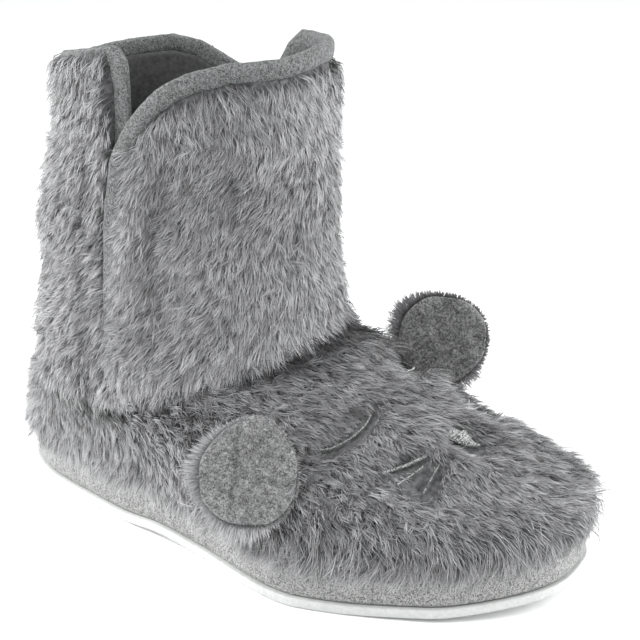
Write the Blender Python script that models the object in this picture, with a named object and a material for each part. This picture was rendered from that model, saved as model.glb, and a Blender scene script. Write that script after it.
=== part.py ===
"""Bootie slipper: a right-foot house boot of deep pile fabric on a flat wrapped sole.

Metres, +Z up, toe towards +X, outer side of the foot towards -Y.
The origin lies on the floor under the middle of the sole's length.

Every soft piece is cut from one surface, the lining face of the boot. A stack of rings
describes it: each ring runs from a point on the heel line to a point on the toe line, and
an angle called turn goes round it, 0 at the back, 90 degrees at the side and 180 in front.
Pieces lie between two offsets from that face, measured along its outward normal.
"""
import bpy
import bmesh
import numpy as np

# Sole
SOLE_LENGTH = 0.258
BALL_WIDTH = 0.115
WAIST_WIDTH = 0.090
HEEL_WIDTH = 0.084
OUTSOLE_THICKNESS = 0.004
OUTSOLE_LEDGE = 0.0010
SIDEWALL_HEIGHT = 0.0197
INSOLE_THICKNESS = 0.0035
TOE_SPRING = 0.006
HEEL_SPRING = 0.002
ARCH_RISE = 0.002

# Upper
SEAT_INSET = 0.006
INSTEP_HEIGHT = 0.090
SHAFT_HEIGHT = 0.190
SHAFT_LENGTH = 0.116
SHAFT_WIDTH = 0.082
SHAFT_CENTRE = -0.049
SHAFT_ASIDE = -0.0015
BACKING = 0.003
PILE_DEPTH = 0.0072
PILE_OVERHANG = 0.0060
LOCK_RELIEF = 0.0024
LOCK_WIDTH_STEPS = 2

# Front shaft panel and the bound edges
SLIT_TURN = np.radians(85.0)
BACK_EDGE_TURN = np.radians(92.0)
HEM_LAP = 0.010
NOTCH_DEPTH = 0.034
CORNER_RUN = 0.030
BINDING_WIDTH = 0.0075
BINDING_THICKNESS = 0.0046
BACK_BINDING_THICKNESS = 0.0042

# Ears
EAR_RADIUS = 0.0203
EAR_FACE_THICKNESS = 0.0040
EAR_BACK_THICKNESS = 0.0060
EAR_FRINGE = 0.0050
EAR_CUP = 0.0030
EAR_SINK = 0.0035
EAR_STEPS = 20

CLEARANCE = 0.0003
TURN_STEPS = 60

HALF_LENGTH = SOLE_LENGTH / 2
HALF_BALL = BALL_WIDTH / 2
SOLE_HEIGHT = OUTSOLE_THICKNESS + CLEARANCE + SIDEWALL_HEIGHT
SEAT_HEIGHT = SOLE_HEIGHT + CLEARANCE
UNDER = BACKING
OVER = BACKING + CLEARANCE
PILE_TOP = BACKING + PILE_DEPTH

# Centre line of the outline: place along the length (0 heel, 1 toe), sideways shift as a
# share of half the ball width.
CENTRE_LINE = {
    "place": (0.0, 0.18, 0.42, 0.66, 0.85, 1.0),
    "shift": (-0.02, -0.04, -0.09, -0.165, -0.08, 0.06),
}

# Foot rings, from the seat on the sole up to the instep.
# back, front: ends of the ring as shares of half the sole length
# back_up, front_up: height of the ends, as shares of the rise from seat to instep
# bow: how late the ring climbs from its back height to its front height
# heel, waist, ball: half widths as shares of the seat's own half widths
# power: fullness of the ends; sway: share of the sole's centre line; spring: of its lift
FOOT_COLUMNS = ("back", "front", "back_up", "front_up", "bow", "heel", "waist", "ball",
                "power", "sway", "spring")
FOOT_RINGS = (
    (-0.953, 0.953, 0.00, 0.00, 1.0, 1.00, 1.00, 1.00, 0.72, 1.00, 1.00),
    (-0.945, 0.970, 0.10, 0.060, 1.0, 1.03, 1.02, 1.01, 0.73, 1.00, 0.95),
    (-0.938, 0.930, 0.20, 0.120, 1.0, 1.05, 1.04, 0.98, 0.75, 1.00, 0.80),
    (-0.936, 0.855, 0.28, 0.210, 1.0, 1.07, 1.05, 0.91, 0.77, 0.98, 0.60),
    (-0.930, 0.755, 0.34, 0.330, 1.0, 1.09, 1.06, 0.84, 0.80, 0.92, 0.40),
    (-0.917, 0.620, 0.39, 0.455, 1.3, 1.11, 1.07, 0.79, 0.84, 0.80, 0.22),
    (-0.905, 0.470, 0.43, 0.595, 1.7, 1.14, 1.08, 0.78, 0.88, 0.62, 0.10),
    (-0.893, 0.320, 0.46, 0.73, 2.3, 1.17, 1.10, 0.81, 0.93, 0.40, 0.04),
    (-0.882, 0.190, 0.49, 0.875, 3.2, 1.19, 1.11, 0.85, 0.98, 0.15, 0.00),
)

# Shaft rings, from the instep up to the collar.
# long, wide: shares of half the shaft's length and width; ahead: shift of the centre as a
# share of the shaft length; back_up, front_up: shares of the rise from instep to collar.
SHAFT_COLUMNS = ("long", "wide", "ahead", "back_up", "front_up", "bow")
SHAFT_RINGS = (
    (1.075, 1.06, 0.005, -0.26, 0.02, 4.0),
    (1.035, 1.04, 0.002, -0.02, 0.17, 2.6),
    (1.005, 1.01, 0.004, 0.25, 0.34, 1.4),
    (0.988, 1.00, 0.014, 0.45, 0.49, 1.0),
    (0.935, 1.00, 0.039, 0.64, 0.66, 1.0),
    (0.903, 1.01, 0.050, 0.83, 0.85, 1.0),
    (0.885, 1.03, 0.055, 1.02, 1.04, 1.0),
    (0.880, 1.04, 0.056, 1.20, 1.22, 1.0),
)

# Collar heights above the shaft height, as shares of the notch depth, against the signed
# turn in degrees: negative on the outer side, positive on the inner side.
BACK_COLLAR = {
    "turn": (-92.0, -84.0, -70.0, -50.0, -28.0, 0.0, 28.0, 50.0, 64.0, 76.0, 92.0),
    "rise": (0.30, 0.31, 0.24, 0.16, 0.07, 0.00, 0.07, 0.12, 0.04, -0.13, -0.34),
}
FRONT_COLLAR = {
    "turn": (85.0, 104.0, 109.0, 118.0, 150.0, 180.0, 203.0, 227.0, 239.0, 246.0, 275.0),
    "rise": (0.08, 0.11, 0.215, 0.265, 0.29, 0.28, 0.19, 0.17, 0.09, 0.045, 0.04),
}

# Sole lift: place along the length and the share of each named rise found there.
LIFT = {
    "place": (0.0, 0.10, 0.28, 0.375, 0.46, 0.74, 0.87, 1.0),
    "heel": (1.0, 0.12, 0.0, 0.0, 0.0, 0.0, 0.0, 0.0),
    "arch": (0.0, 0.0, 0.0, 1.0, 0.0, 0.0, 0.0, 0.0),
    "toe": (0.0, 0.0, 0.0, 0.0, 0.0, 0.0, 0.28, 1.0),
}

# Side of the wrapped sole: height share and how far it stands inside the outline, as a
# share of the ledge that the outsole leaves round it.
SIDEWALL_PROFILE = {
    "up": (0.0, 0.10, 0.45, 0.78, 0.93, 1.0),
    "inset": (0.9, 0.25, 0.0, 0.15, 0.9, 2.4),
}
OUTSOLE_PROFILE = {
    "up": (0.0, 0.22, 0.78, 1.0),
    "inset": (1.6, 0.0, 0.0, 0.7),
}

# Ears: where the base sits on the upper (turn in degrees, ring number), how far it stands
# off the pile as a share of the back pad's thickness, the direction from the base to the
# tip, and the way the fleece side faces. The outer ear droops and the inner one stands.
EARS = (
    ("outer_ear", 245.5, 5.3, 0.75, (0.12, -0.58, -0.80), (0.44, -0.68, 0.58)),
    ("inner_ear", 136.5, 5.35, 0.0, (0.20, 0.20, 0.96), (0.50, -0.85, 0.10)),
)

MATERIALS = {
    "outsole": ((0.78, 0.78, 0.76), 0.60),
    "suede": ((0.27, 0.27, 0.27), 0.95),
    "pile": ((0.33, 0.33, 0.34), 1.00),
    "fleece": ((0.25, 0.25, 0.25), 1.00),
    "lining": ((0.12, 0.12, 0.13), 1.00),
}


def smooth_table(rows, at):
    """Values of a table's rows at fractional row numbers, on a smooth curve through them."""
    rows = np.asarray(rows, float)
    last = len(rows) - 1
    at = np.clip(np.asarray(at, float), 0.0, last)
    low = np.minimum(at.astype(int), last - 1)
    part = (at - low)[..., None]
    a, b = rows[np.maximum(low - 1, 0)], rows[low]
    c, d = rows[low + 1], rows[np.minimum(low + 2, last)]
    return 0.5 * (2 * b + (c - a) * part + (2 * a - 5 * b + 4 * c - d) * part ** 2
                  + (3 * b - a - 3 * c + d) * part ** 3)


def soft_steps(at, places, values):
    """Values between listed places, eased so that the curve is level at each place."""
    places, values = np.asarray(places, float), np.asarray(values, float)
    at = np.clip(at, places[0], places[-1])
    low = np.clip(np.searchsorted(places, at, side="right") - 1, 0, len(places) - 2)
    part = (at - places[low]) / (places[low + 1] - places[low])
    part = part * part * (3 - 2 * part)
    return values[low] + (values[low + 1] - values[low]) * part


def lift(x):
    """Height of the sole's underside over the floor: flat at heel and forefoot."""
    place = (np.asarray(x, float) + HALF_LENGTH) / SOLE_LENGTH
    table = {key: np.asarray(value) for key, value in LIFT.items()}
    return (HEEL_SPRING * np.interp(place, table["place"], table["heel"])
            + ARCH_RISE * soft_steps(place, table["place"], table["arch"])
            + TOE_SPRING * np.interp(place, table["place"], table["toe"]))


def half_widths(turn, heel, waist, ball, power):
    """Half width round a ring: eased widths along it, closed off at both ends."""
    place = (1 - np.cos(turn)) / 2
    stations = np.stack([heel, heel, waist, ball, 0.96 * ball, 0.90 * ball])
    places = (0.0, 0.18, 0.42, 0.66, 0.86, 1.0)
    width = np.zeros(np.broadcast(place, heel).shape)
    for k in range(5):
        part = np.clip((place - places[k]) / (places[k + 1] - places[k]), 0, 1)
        part = part * part * (3 - 2 * part)
        width = width + (stations[k + 1] - stations[k]) * part
    width = width + stations[0]
    return width * np.abs(np.sin(turn)) ** power


def centre_line(turn):
    place = (1 - np.cos(turn)) / 2
    return HALF_BALL * np.interp(place, CENTRE_LINE["place"], CENTRE_LINE["shift"])


def sole_outline(turn, inset=0.0):
    """Plan points of the sole's edge, moved inwards by an inset."""
    turn = np.asarray(turn, float)
    whole = np.ones_like(turn)

    def edge(angle):
        x = -HALF_LENGTH * np.cos(angle)
        y = half_widths(angle, whole * HEEL_WIDTH / 2, whole * WAIST_WIDTH / 2,
                        whole * HALF_BALL, 0.72) * np.sign(np.sin(angle))
        return np.stack([x, y + centre_line(angle)], -1)

    here = edge(turn)
    ahead = edge(turn + 0.02) - edge(turn - 0.02)
    ahead /= np.linalg.norm(ahead, axis=-1, keepdims=True)
    outward = np.stack([-ahead[..., 1], ahead[..., 0]], -1)
    return here - outward * np.asarray(inset)[..., None]


def ring_rows():
    """Foot and shaft rings as one table in metres, in the order seat to collar."""
    foot = []
    rise = INSTEP_HEIGHT - SEAT_HEIGHT
    for values in FOOT_RINGS:
        row = dict(zip(FOOT_COLUMNS, values))
        foot.append((row["back"] * HALF_LENGTH, row["front"] * HALF_LENGTH,
                     SEAT_HEIGHT + rise * row["back_up"], SEAT_HEIGHT + rise * row["front_up"],
                     row["bow"], row["heel"] * (HEEL_WIDTH / 2 - SEAT_INSET),
                     row["waist"] * (WAIST_WIDTH / 2 - SEAT_INSET),
                     row["ball"] * (HALF_BALL - SEAT_INSET),
                     row["power"], row["sway"], row["spring"]))
    shaft = []
    rise = SHAFT_HEIGHT - INSTEP_HEIGHT
    for values in SHAFT_RINGS:
        row = dict(zip(SHAFT_COLUMNS, values))
        middle = SHAFT_CENTRE + row["ahead"] * SHAFT_LENGTH
        reach = row["long"] * SHAFT_LENGTH / 2
        width = row["wide"] * SHAFT_WIDTH / 2
        shaft.append((middle - reach, middle + reach, INSTEP_HEIGHT + rise * row["back_up"],
                      INSTEP_HEIGHT + rise * row["front_up"], row["bow"],
                      width, width, width, 1.0, 0.0, 0.0))
    foot = [row + (SHAFT_ASIDE * (1 - row[9]),) for row in foot]
    shaft = [row + (SHAFT_ASIDE,) for row in shaft]
    return np.array(foot + shaft)


RING_TABLE = ring_rows()
HEM_ROW = len(FOOT_RINGS) - 0.25
HEM_GROOVE = 0.55


def lining_face(turn, row):
    """Point of the lining face at a turn angle and a fractional ring number."""
    turn, row = np.broadcast_arrays(np.asarray(turn, float), np.asarray(row, float))
    (back, front, low, high, bow, heel, waist, ball, power, sway, spring,
     aside) = np.moveaxis(smooth_table(RING_TABLE, row), -1, 0)
    power = np.minimum(power, 1.0)
    place = (1 - np.cos(turn)) / 2
    x = back + (front - back) * place
    z = low + (high - low) * place ** bow
    width = half_widths(turn, heel, waist, ball, power)
    y = np.sign(np.sin(turn)) * width + centre_line(turn) * sway + aside
    return np.stack([x, y, z + lift(x) * spring], -1)


def outward_normal(turn, row):
    step = 0.01
    top = len(RING_TABLE) - 1
    along = lining_face(turn + step, row) - lining_face(turn - step, row)
    upper, lower = np.minimum(np.asarray(row) + step, top), np.maximum(np.asarray(row) - step, 0)
    across = lining_face(turn, upper) - lining_face(turn, lower)
    normal = np.cross(across, along)
    return normal / np.linalg.norm(normal, axis=-1, keepdims=True)


def skin(turn, row, offset):
    """Point at an offset outwards from the lining face."""
    turn, row, offset = np.broadcast_arrays(turn, row, offset)
    return lining_face(turn, row) + outward_normal(turn, row) * offset[..., None]


def row_at_height(turn, height):
    """Ring number at which the lining face has a height, column by column."""
    rows = np.linspace(4.0, len(RING_TABLE) - 1, 240)
    turn, height = np.broadcast_arrays(np.asarray(turn, float), np.asarray(height, float))
    heights = lining_face(turn.ravel()[:, None], rows[None, :])[..., 2]
    found = [np.interp(h, column, rows) for h, column in zip(height.ravel(), heights)]
    return np.array(found).reshape(turn.shape)


def shaft_unroll():
    """Arc length along the collar ring against turn, to lay the shaft out flat."""
    turns = np.radians(np.arange(0.0, 361.0, 1.0))
    ring = lining_face(turns, np.full(turns.shape, len(RING_TABLE) - 3.0))
    steps = np.linalg.norm(np.diff(ring, axis=0), axis=1)
    return turns, np.concatenate([[0.0], np.cumsum(steps)])


UNROLL_TURNS, UNROLL_LENGTHS = shaft_unroll()


def length_at(turn):
    lap = UNROLL_LENGTHS[-1]
    whole = np.floor(np.asarray(turn) / (2 * np.pi))
    part = np.interp(turn - whole * 2 * np.pi, UNROLL_TURNS, UNROLL_LENGTHS)
    return part + whole * lap


def turn_at(length):
    lap = UNROLL_LENGTHS[-1]
    whole = np.floor(np.asarray(length) / lap)
    part = np.interp(length - whole * lap, UNROLL_LENGTHS, UNROLL_TURNS)
    return part + whole * 2 * np.pi


def flat_to_skin(flat, offset):
    """Point over the flat layout (arc length, height) at an offset from the lining face."""
    turn = turn_at(flat[..., 0])
    return skin(turn, row_at_height(turn, flat[..., 1]), offset)


def front_edge(count=23):
    """Edge of the front panel in the flat layout: up the slit, over the collar, down again."""
    start, end = length_at(SLIT_TURN), length_at(2 * np.pi - SLIT_TURN)
    foot_of_slit = SHAFT_HEIGHT - NOTCH_DEPTH
    share = np.linspace(0, 1, count) ** 1.7
    run = np.concatenate([share * CORNER_RUN,
                          np.linspace(CORNER_RUN, end - start - CORNER_RUN, 16)[1:-1],
                          end - start - share[::-1] * CORNER_RUN])
    turn = np.degrees(turn_at(start + run))
    top = SHAFT_HEIGHT + NOTCH_DEPTH * np.interp(turn, FRONT_COLLAR["turn"],
                                                 FRONT_COLLAR["rise"])
    near = np.minimum(run, end - start - run) / CORNER_RUN
    climb = (1 - np.clip(1 - near, 0, 1) ** 1.6) ** 0.77
    return np.stack([start + run, foot_of_slit + (top - foot_of_slit) * climb], -1)


def back_edge():
    """Edge of the back panel in the flat layout, from its outer front corner round the heel."""
    start, end = length_at(-BACK_EDGE_TURN), length_at(BACK_EDGE_TURN)
    corner = BINDING_WIDTH * 1.08
    run = np.concatenate([corner * np.array([0.0, 0.12, 0.45, 1.0]),
                          np.linspace(corner, end - start - corner, 26)[1:-1],
                          end - start - corner * np.array([1.0, 0.45, 0.12, 0.0])])
    turn = np.degrees(turn_at(start + run))
    top = SHAFT_HEIGHT + NOTCH_DEPTH * np.interp(turn, BACK_COLLAR["turn"],
                                                 BACK_COLLAR["rise"])
    near = np.clip(np.minimum(run, end - start - run) / corner, 0, 1)
    drop = corner * (1 - np.sqrt(1 - (1 - near) ** 2))
    return np.stack([start + run, top - drop], -1)


def with_legs(edge, heights):
    """The edge with a leg added on both sides, through a list of rising heights."""
    heights = np.asarray(heights)
    left = np.stack([np.full(len(heights), edge[0, 0]), heights], -1)
    right = np.stack([np.full(len(heights), edge[-1, 0]), heights[::-1]], -1)
    return np.concatenate([left, edge, right])


def inward(edge):
    """Unit directions at right angles to the edge, into the panel."""
    ahead = np.gradient(edge, axis=0)
    ahead /= np.linalg.norm(ahead, axis=1, keepdims=True)
    return np.stack([ahead[:, 1], -ahead[:, 0]], -1)


def edge_height(edge, inset, length):
    """Height of the edge, moved inwards by an inset, at lengths of the flat layout."""
    moved = edge + inward(edge) * inset
    order = np.argsort(moved[:, 0], kind="stable")
    return np.interp(length, moved[order, 0], moved[order, 1])


def locks(column, row):
    """Shingled locks: each is two columns wide, thickest just above its tip.

    Rows of locks are half a lock out of step with the row above, as in a combed pile.
    """
    tier = np.floor(row / 2)
    across = (column + tier * LOCK_WIDTH_STEPS / 2) % LOCK_WIDTH_STEPS
    tongue = np.cos(np.pi * across / LOCK_WIDTH_STEPS) ** 2
    tip = 1 - (row / 2 - tier)
    swirl = 0.5 + 0.5 * np.sin(2.4 * column + 1.7 * row) * np.cos(1.1 * column - 0.8 * row)
    return LOCK_RELIEF * (tongue * tip * 0.75 + 0.25 * swirl)


def new_object(name, points, faces, material, collection):
    """Mesh object with its faces turned outwards and its round parts shaded smooth."""
    mesh = bpy.data.meshes.new(name)
    mesh.from_pydata([tuple(p) for p in np.asarray(points).reshape(-1, 3)], [], faces)
    shaped = bmesh.new()
    shaped.from_mesh(mesh)
    bmesh.ops.remove_doubles(shaped, verts=shaped.verts, dist=0.000002)
    bmesh.ops.triangulate(shaped, faces=shaped.faces)
    bmesh.ops.recalc_face_normals(shaped, faces=shaped.faces)
    if shaped.calc_volume(signed=True) < 0:
        bmesh.ops.reverse_faces(shaped, faces=shaped.faces)
    shaped.to_mesh(mesh)
    shaped.free()
    mesh.shade_smooth()
    mesh.set_sharp_from_angle(angle=np.radians(40))
    mesh.materials.append(material)
    thing = bpy.data.objects.new(name, mesh)
    collection.objects.link(thing)
    return thing


def loop_faces(numbers, close):
    """Quads between neighbouring rows of point numbers, closed round the columns or not."""
    faces = []
    for low, high in zip(numbers[:-1], numbers[1:]):
        count = len(low)
        for k in range(count if close else count - 1):
            n = (k + 1) % count
            faces.append((low[k], low[n], high[n], high[k]))
    return faces


def ring_stack(name, rings, material, collection):
    """Solid from a stack of closed rings, its two ends closed by strips across the ring."""
    rings = np.asarray(rings)
    count = rings.shape[1]
    numbers = np.arange(rings.shape[0] * count).reshape(rings.shape[:2])
    faces = loop_faces(numbers, True)
    for ring in (numbers[0], numbers[-1]):
        faces.append((ring[0], ring[1], ring[-1]))
        for k in range(1, count // 2 - 1):
            faces.append((ring[k], ring[k + 1], ring[-k - 1], ring[-k]))
        half = count // 2
        faces.append((ring[half - 1], ring[half], ring[half + 1]))
    return new_object(name, rings, faces, material, collection)


def swept_bar(name, edge, profile, material, collection):
    """Bar along an edge of the flat layout: the profile holds inset and offset per corner."""
    sideways = inward(edge)
    inset, offset = profile[..., 0], profile[..., 1]
    flat = edge[:, None, :] + sideways[:, None, :] * inset[..., None]
    rings = flat_to_skin(flat, offset)
    count = rings.shape[1]
    numbers = np.arange(rings.shape[0] * count).reshape(rings.shape[:2])
    faces = loop_faces(numbers, True) + [tuple(numbers[0]), tuple(numbers[-1])]
    return new_object(name, rings, faces, material, collection)


def shell_faces(inner, outer, present, closed):
    """Faces of a wall between two grids of point numbers, where cells are present."""
    rows, columns = present.shape
    faces = []

    def has(r, c):
        if closed:
            c = c % columns
        return 0 <= r < rows and 0 <= c < columns and present[r, c]

    width = inner.shape[1]
    for r in range(rows):
        for c in range(columns):
            if not has(r, c):
                continue
            n = (c + 1) % width if closed else c + 1
            faces.append((outer[r, c], outer[r, n], outer[r + 1, n], outer[r + 1, c]))
            faces.append((inner[r, c], inner[r + 1, c], inner[r + 1, n], inner[r, n]))
            if not has(r + 1, c):
                faces.append((outer[r + 1, c], outer[r + 1, n], inner[r + 1, n],
                              inner[r + 1, c]))
            if r > 0 and not has(r - 1, c):
                faces.append((inner[r, c], inner[r, n], outer[r, n], outer[r, c]))
            if not has(r, c - 1):
                faces.append((inner[r, c], outer[r, c], outer[r + 1, c], inner[r + 1, c]))
            if not has(r, c + 1):
                faces.append((outer[r, n], inner[r, n], inner[r + 1, n], outer[r + 1, n]))
    return faces


def sole_ring(turn, inset, height):
    plan = sole_outline(turn, inset)
    return np.concatenate([plan, (height + lift(plan[..., 0]))[..., None]], -1)


def make_sole(materials, collection):
    """Outsole, wrapped sidewall block and insole, each a stack of rings of the outline."""
    turn = np.linspace(0, 2 * np.pi, TURN_STEPS, endpoint=False)
    rings = [sole_ring(turn, OUTSOLE_LEDGE * (inset - 1), OUTSOLE_THICKNESS * up)
             for up, inset in zip(OUTSOLE_PROFILE["up"], OUTSOLE_PROFILE["inset"])]
    ring_stack("outsole", rings, materials["outsole"], collection)
    base = OUTSOLE_THICKNESS + CLEARANCE
    rings = [sole_ring(turn, OUTSOLE_LEDGE * inset, base + SIDEWALL_HEIGHT * up)
             for up, inset in zip(SIDEWALL_PROFILE["up"], SIDEWALL_PROFILE["inset"])]
    ring_stack("sidewall", rings, materials["suede"], collection)
    seat = lining_face(turn, np.zeros(TURN_STEPS))
    normal = outward_normal(turn, np.zeros(TURN_STEPS)) * (1, 1, 0)
    normal /= np.linalg.norm(normal, axis=1, keepdims=True)
    rings = []
    for up, inset in ((0.0, 1.0), (0.6, 0.0), (1.0, 3.0)):
        ring = seat - normal * (CLEARANCE * 2 + inset * INSOLE_THICKNESS * 0.25)
        ring[:, 2] = SEAT_HEIGHT + INSOLE_THICKNESS * up + lift(ring[:, 0])
        rings.append(ring)
    ring_stack("insole", rings, materials["lining"], collection)


def upper_rows():
    """Ring numbers of the foot's rows, closest over the toe and at the hem."""
    return np.array([0.0, 0.45, 1.0, 1.6, 2.2, 2.8, 3.4, 4.0, 4.7, 5.4, 6.1, 6.8, 7.5,
                     HEM_ROW - HEM_GROOVE, HEM_ROW - 0.03])


def under_hem_row():
    """Ring number of the vamp's top edge, one lap above the hem in front."""
    front = np.pi
    hem = lining_face(front, HEM_ROW)[2]
    return float(row_at_height(front, hem + HEM_LAP))


def lap_rows():
    """Ring numbers of the rows that the vamp's top edge and the front panel share."""
    under = under_hem_row()
    return HEM_ROW + (under - HEM_ROW) * np.array([0.0, 0.35, 0.7, 1.0])


def upper_grids(extra=0.0):
    """Inner and outer points of the upper, and which of its cells are there."""
    step = 2 * np.pi / TURN_STEPS
    index = np.arange(TURN_STEPS)
    index = np.where(index > TURN_STEPS // 2, index - TURN_STEPS, index)
    turn = index * step
    edge = back_edge()
    inset = BINDING_WIDTH + CLEARANCE
    last = turn_at(edge[-1, 0] - inset)
    side = int(np.floor(last / step))
    nudged = np.where(index == side, last, np.where(index == -side, -last, turn))
    foot = upper_rows()
    under = under_hem_row()
    laps = np.repeat(lap_rows()[1:, None], TURN_STEPS, 1)
    rise = 8
    share = np.linspace(0, 1, rise + 1)[1:]
    rows = np.repeat(foot[:, None], TURN_STEPS, 1)
    shaft_turn = np.where(np.abs(index) <= side, nudged, turn)
    length = length_at(shaft_turn)
    top = row_at_height(shaft_turn, edge_height(edge, inset, length))
    rows = np.concatenate([rows, laps, under + (top - under)[None, :] * share[:, None]])
    low = len(foot) + len(laps) - 1
    turns = np.concatenate([np.repeat(turn[None], low, 0),
                            np.repeat(shaft_turn[None], rise + 1, 0)])
    present = np.zeros((len(rows) - 1, TURN_STEPS), bool)
    present[:low] = True
    reaches = (index >= -side) & (index < side)
    present[low:, reaches] = True

    column = np.arange(TURN_STEPS)[None, :] + np.zeros((len(rows), 1))
    number = np.arange(len(rows))[:, None] + np.zeros((1, TURN_STEPS))
    pile = PILE_TOP - LOCK_RELIEF + locks(column, len(rows) - number)
    away = np.abs(index)[None, :]
    covered = (number >= len(foot) - 1) & (away > side)
    covered = covered | ((number >= len(foot) - 1) & (number <= low) & (away == side))
    beside = (number >= len(foot) - 1) & (away == side)
    collar = number == len(rows) - 1
    outer_offset = np.where(beside, 0.7 * pile, pile)
    outer_offset = np.where(collar, BACK_BINDING_THICKNESS, outer_offset)
    outer_offset = np.where(covered, UNDER, outer_offset)
    lower_edge = (number == 0)
    outer_offset = np.where(lower_edge, pile * 0.94, outer_offset) + extra
    inner = skin(turns, rows, np.zeros_like(rows))
    outer = skin(turns, rows, outer_offset)
    return inner, outer, present, turn, column


def make_upper(materials, collection, name="upper", extra=0.0):
    """Vamp, heel quarter and back shaft panel: one hollow wall, open above and below.

    Its pile hangs over the top of the sidewall in locks, outside the wrapped sole.
    """
    inner, outer, present, turn, column = upper_grids(extra)
    seat = inner[0].copy()
    top = sole_ring(turn, -CLEARANCE * 1.5, SEAT_HEIGHT)
    reach = 0.55 + 0.45 * np.where(column[0] % 2 == 0, 1.0, 0.15)
    low = top.copy()
    low[:, 2] -= PILE_OVERHANG * reach
    tip = sole_ring(turn, -PILE_DEPTH * 0.42, SEAT_HEIGHT)
    tip[:, 2] -= PILE_OVERHANG * reach * 0.92
    count = TURN_STEPS
    points = np.concatenate([inner.reshape(-1, 3), outer.reshape(-1, 3), seat, top, low, tip])
    per_grid = inner.shape[0] * count
    inner_ids = np.arange(per_grid).reshape(-1, count)
    outer_ids = inner_ids + per_grid
    skirt = [inner_ids[0]] + [2 * per_grid + k * count + np.arange(count) for k in (1, 2, 3)]
    skirt.append(outer_ids[0])
    faces = shell_faces(inner_ids, outer_ids, present, True)
    faces += loop_faces(np.array(skirt), True)
    used = sorted({number for face in faces for number in face})
    place = {number: k for k, number in enumerate(used)}
    faces = [tuple(place[number] for number in face) for face in faces]
    return new_object(name, points[used], faces, materials["pile"], collection)


def panel_rows(top):
    """Ring numbers of the front panel's rows, column by column, from the hem to a top."""
    laps = lap_rows()
    step = laps[-1] + 0.35
    share = np.linspace(0, 1, 8)[1:]
    top = np.asarray(top, float)
    start = [np.full(top.shape, value) for value in (*laps, laps[-1] + 0.05, step)]
    return np.stack(start + [step + (top - step) * part for part in share])


def make_front_panel(materials, collection):
    """Front half of the shaft: laps over the vamp's top edge and the back panel's sides."""
    edge = front_edge()
    inset = BINDING_WIDTH + CLEARANCE
    start, end = edge[0, 0] + inset, edge[-1, 0] - inset
    lap_end = length_at(BACK_EDGE_TURN) + CLEARANCE * 1.5
    step = 2 * np.pi / TURN_STEPS
    first, last = turn_at(start), turn_at(end)
    whole = np.arange(np.ceil(first / step + 0.1), np.floor(last / step - 0.1) + 0.5) * step
    halves = np.concatenate([whole[:3], whole[-4:-1]]) + step / 2
    turn = np.sort(np.concatenate([[first, first + step * 0.26, last - step * 0.26, last],
                                   whole, halves]))
    length = length_at(turn)
    rows = panel_rows(row_at_height(turn, edge_height(edge, inset, length)))
    turns = np.repeat(turn[None], len(rows), 0)
    number = np.arange(len(rows))[:, None] + np.zeros((1, len(length)))
    column = np.arange(len(length))[None] + np.zeros((len(rows), 1))
    inner_offset = np.where(number <= len(lap_rows()), OVER, 0.0)
    inner_offset = np.where(number == len(rows) - 1, OVER, inner_offset)
    beside = (length < lap_end + 0.0001) | (length > edge[0, 0] + edge[-1, 0] - lap_end)
    inner_offset = np.where(beside[None], OVER, inner_offset)
    pile = PILE_TOP - LOCK_RELIEF + locks(column, len(rows) - number)
    rim = (number == len(rows) - 1) | (column == 0) | (column == len(length) - 1)
    outer_offset = np.where(rim, OVER + BINDING_THICKNESS, pile)
    outer_offset = np.where(number == 0, pile * 0.9, outer_offset)
    inner = skin(turns, rows, inner_offset)
    hang = np.where(number == 0, HEM_GROOVE * 0.16 * (0.5 + 0.5 * np.cos(np.pi * column)), 0.0)
    outer = skin(turns, rows - hang, outer_offset)
    per_grid = inner.shape[0] * inner.shape[1]
    inner_ids = np.arange(per_grid).reshape(inner.shape[:2])
    outer_ids = inner_ids + per_grid
    present = np.ones((inner.shape[0] - 1, inner.shape[1] - 1), bool)
    faces = shell_faces(inner_ids, outer_ids, present, False)
    for c in range(inner.shape[1] - 1):
        faces.append((inner_ids[0, c], inner_ids[0, c + 1], outer_ids[0, c + 1],
                      outer_ids[0, c]))
    points = np.concatenate([inner.reshape(-1, 3), outer.reshape(-1, 3)])
    return new_object("front_panel", points, faces, materials["pile"], collection)


def bar_profile(width, low, high):
    """Rounded flat bar: inset from the edge and offset from the lining face per corner."""
    thick = high - low
    inset = np.array([width, width, 0.16 * width, 0.0, 0.0, 0.16 * width])
    share = np.array([0.0, 1.0, 1.0, 0.68, 0.32, 0.0])
    low, thick = np.asarray(low)[..., None], np.asarray(thick)[..., None]
    return np.stack(np.broadcast_arrays(inset, low + thick * share), -1)


def make_bindings(materials, collection):
    """Suede strips along the bound edges of the front and back panels."""
    edge = front_edge(12)
    rows = panel_rows(row_at_height(SLIT_TURN, edge[0, 1]))[:-1]
    rows[0] += 0.1
    edge = with_legs(edge, lining_face(SLIT_TURN, rows)[..., 2])
    low = np.full(len(edge), OVER)
    profile = bar_profile(BINDING_WIDTH, low, low + BINDING_THICKNESS)
    swept_bar("front_binding", edge, profile, materials["suede"], collection)

    edge = back_edge()
    under = under_hem_row()
    corner = row_at_height(BACK_EDGE_TURN, edge[0, 1])
    rows = under + (corner - under) * np.linspace(0.012, 1.0, 11)[:-1]
    edge = with_legs(edge, lining_face(BACK_EDGE_TURN, rows)[..., 2])
    free = SHAFT_HEIGHT - NOTCH_DEPTH * 0.16
    share = np.clip((edge[:, 1] - free) / (BINDING_WIDTH * 0.8), 0, 1)
    inside = np.abs(edge[:, 0] - length_at(0.0)) < length_at(BACK_EDGE_TURN) - 0.001
    share = np.where(inside, 1.0, share)
    high = UNDER + (BACK_BINDING_THICKNESS - UNDER) * share
    profile = bar_profile(BINDING_WIDTH, np.zeros(len(edge)), high)
    swept_bar("back_binding", edge, profile, materials["suede"], collection)


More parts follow.
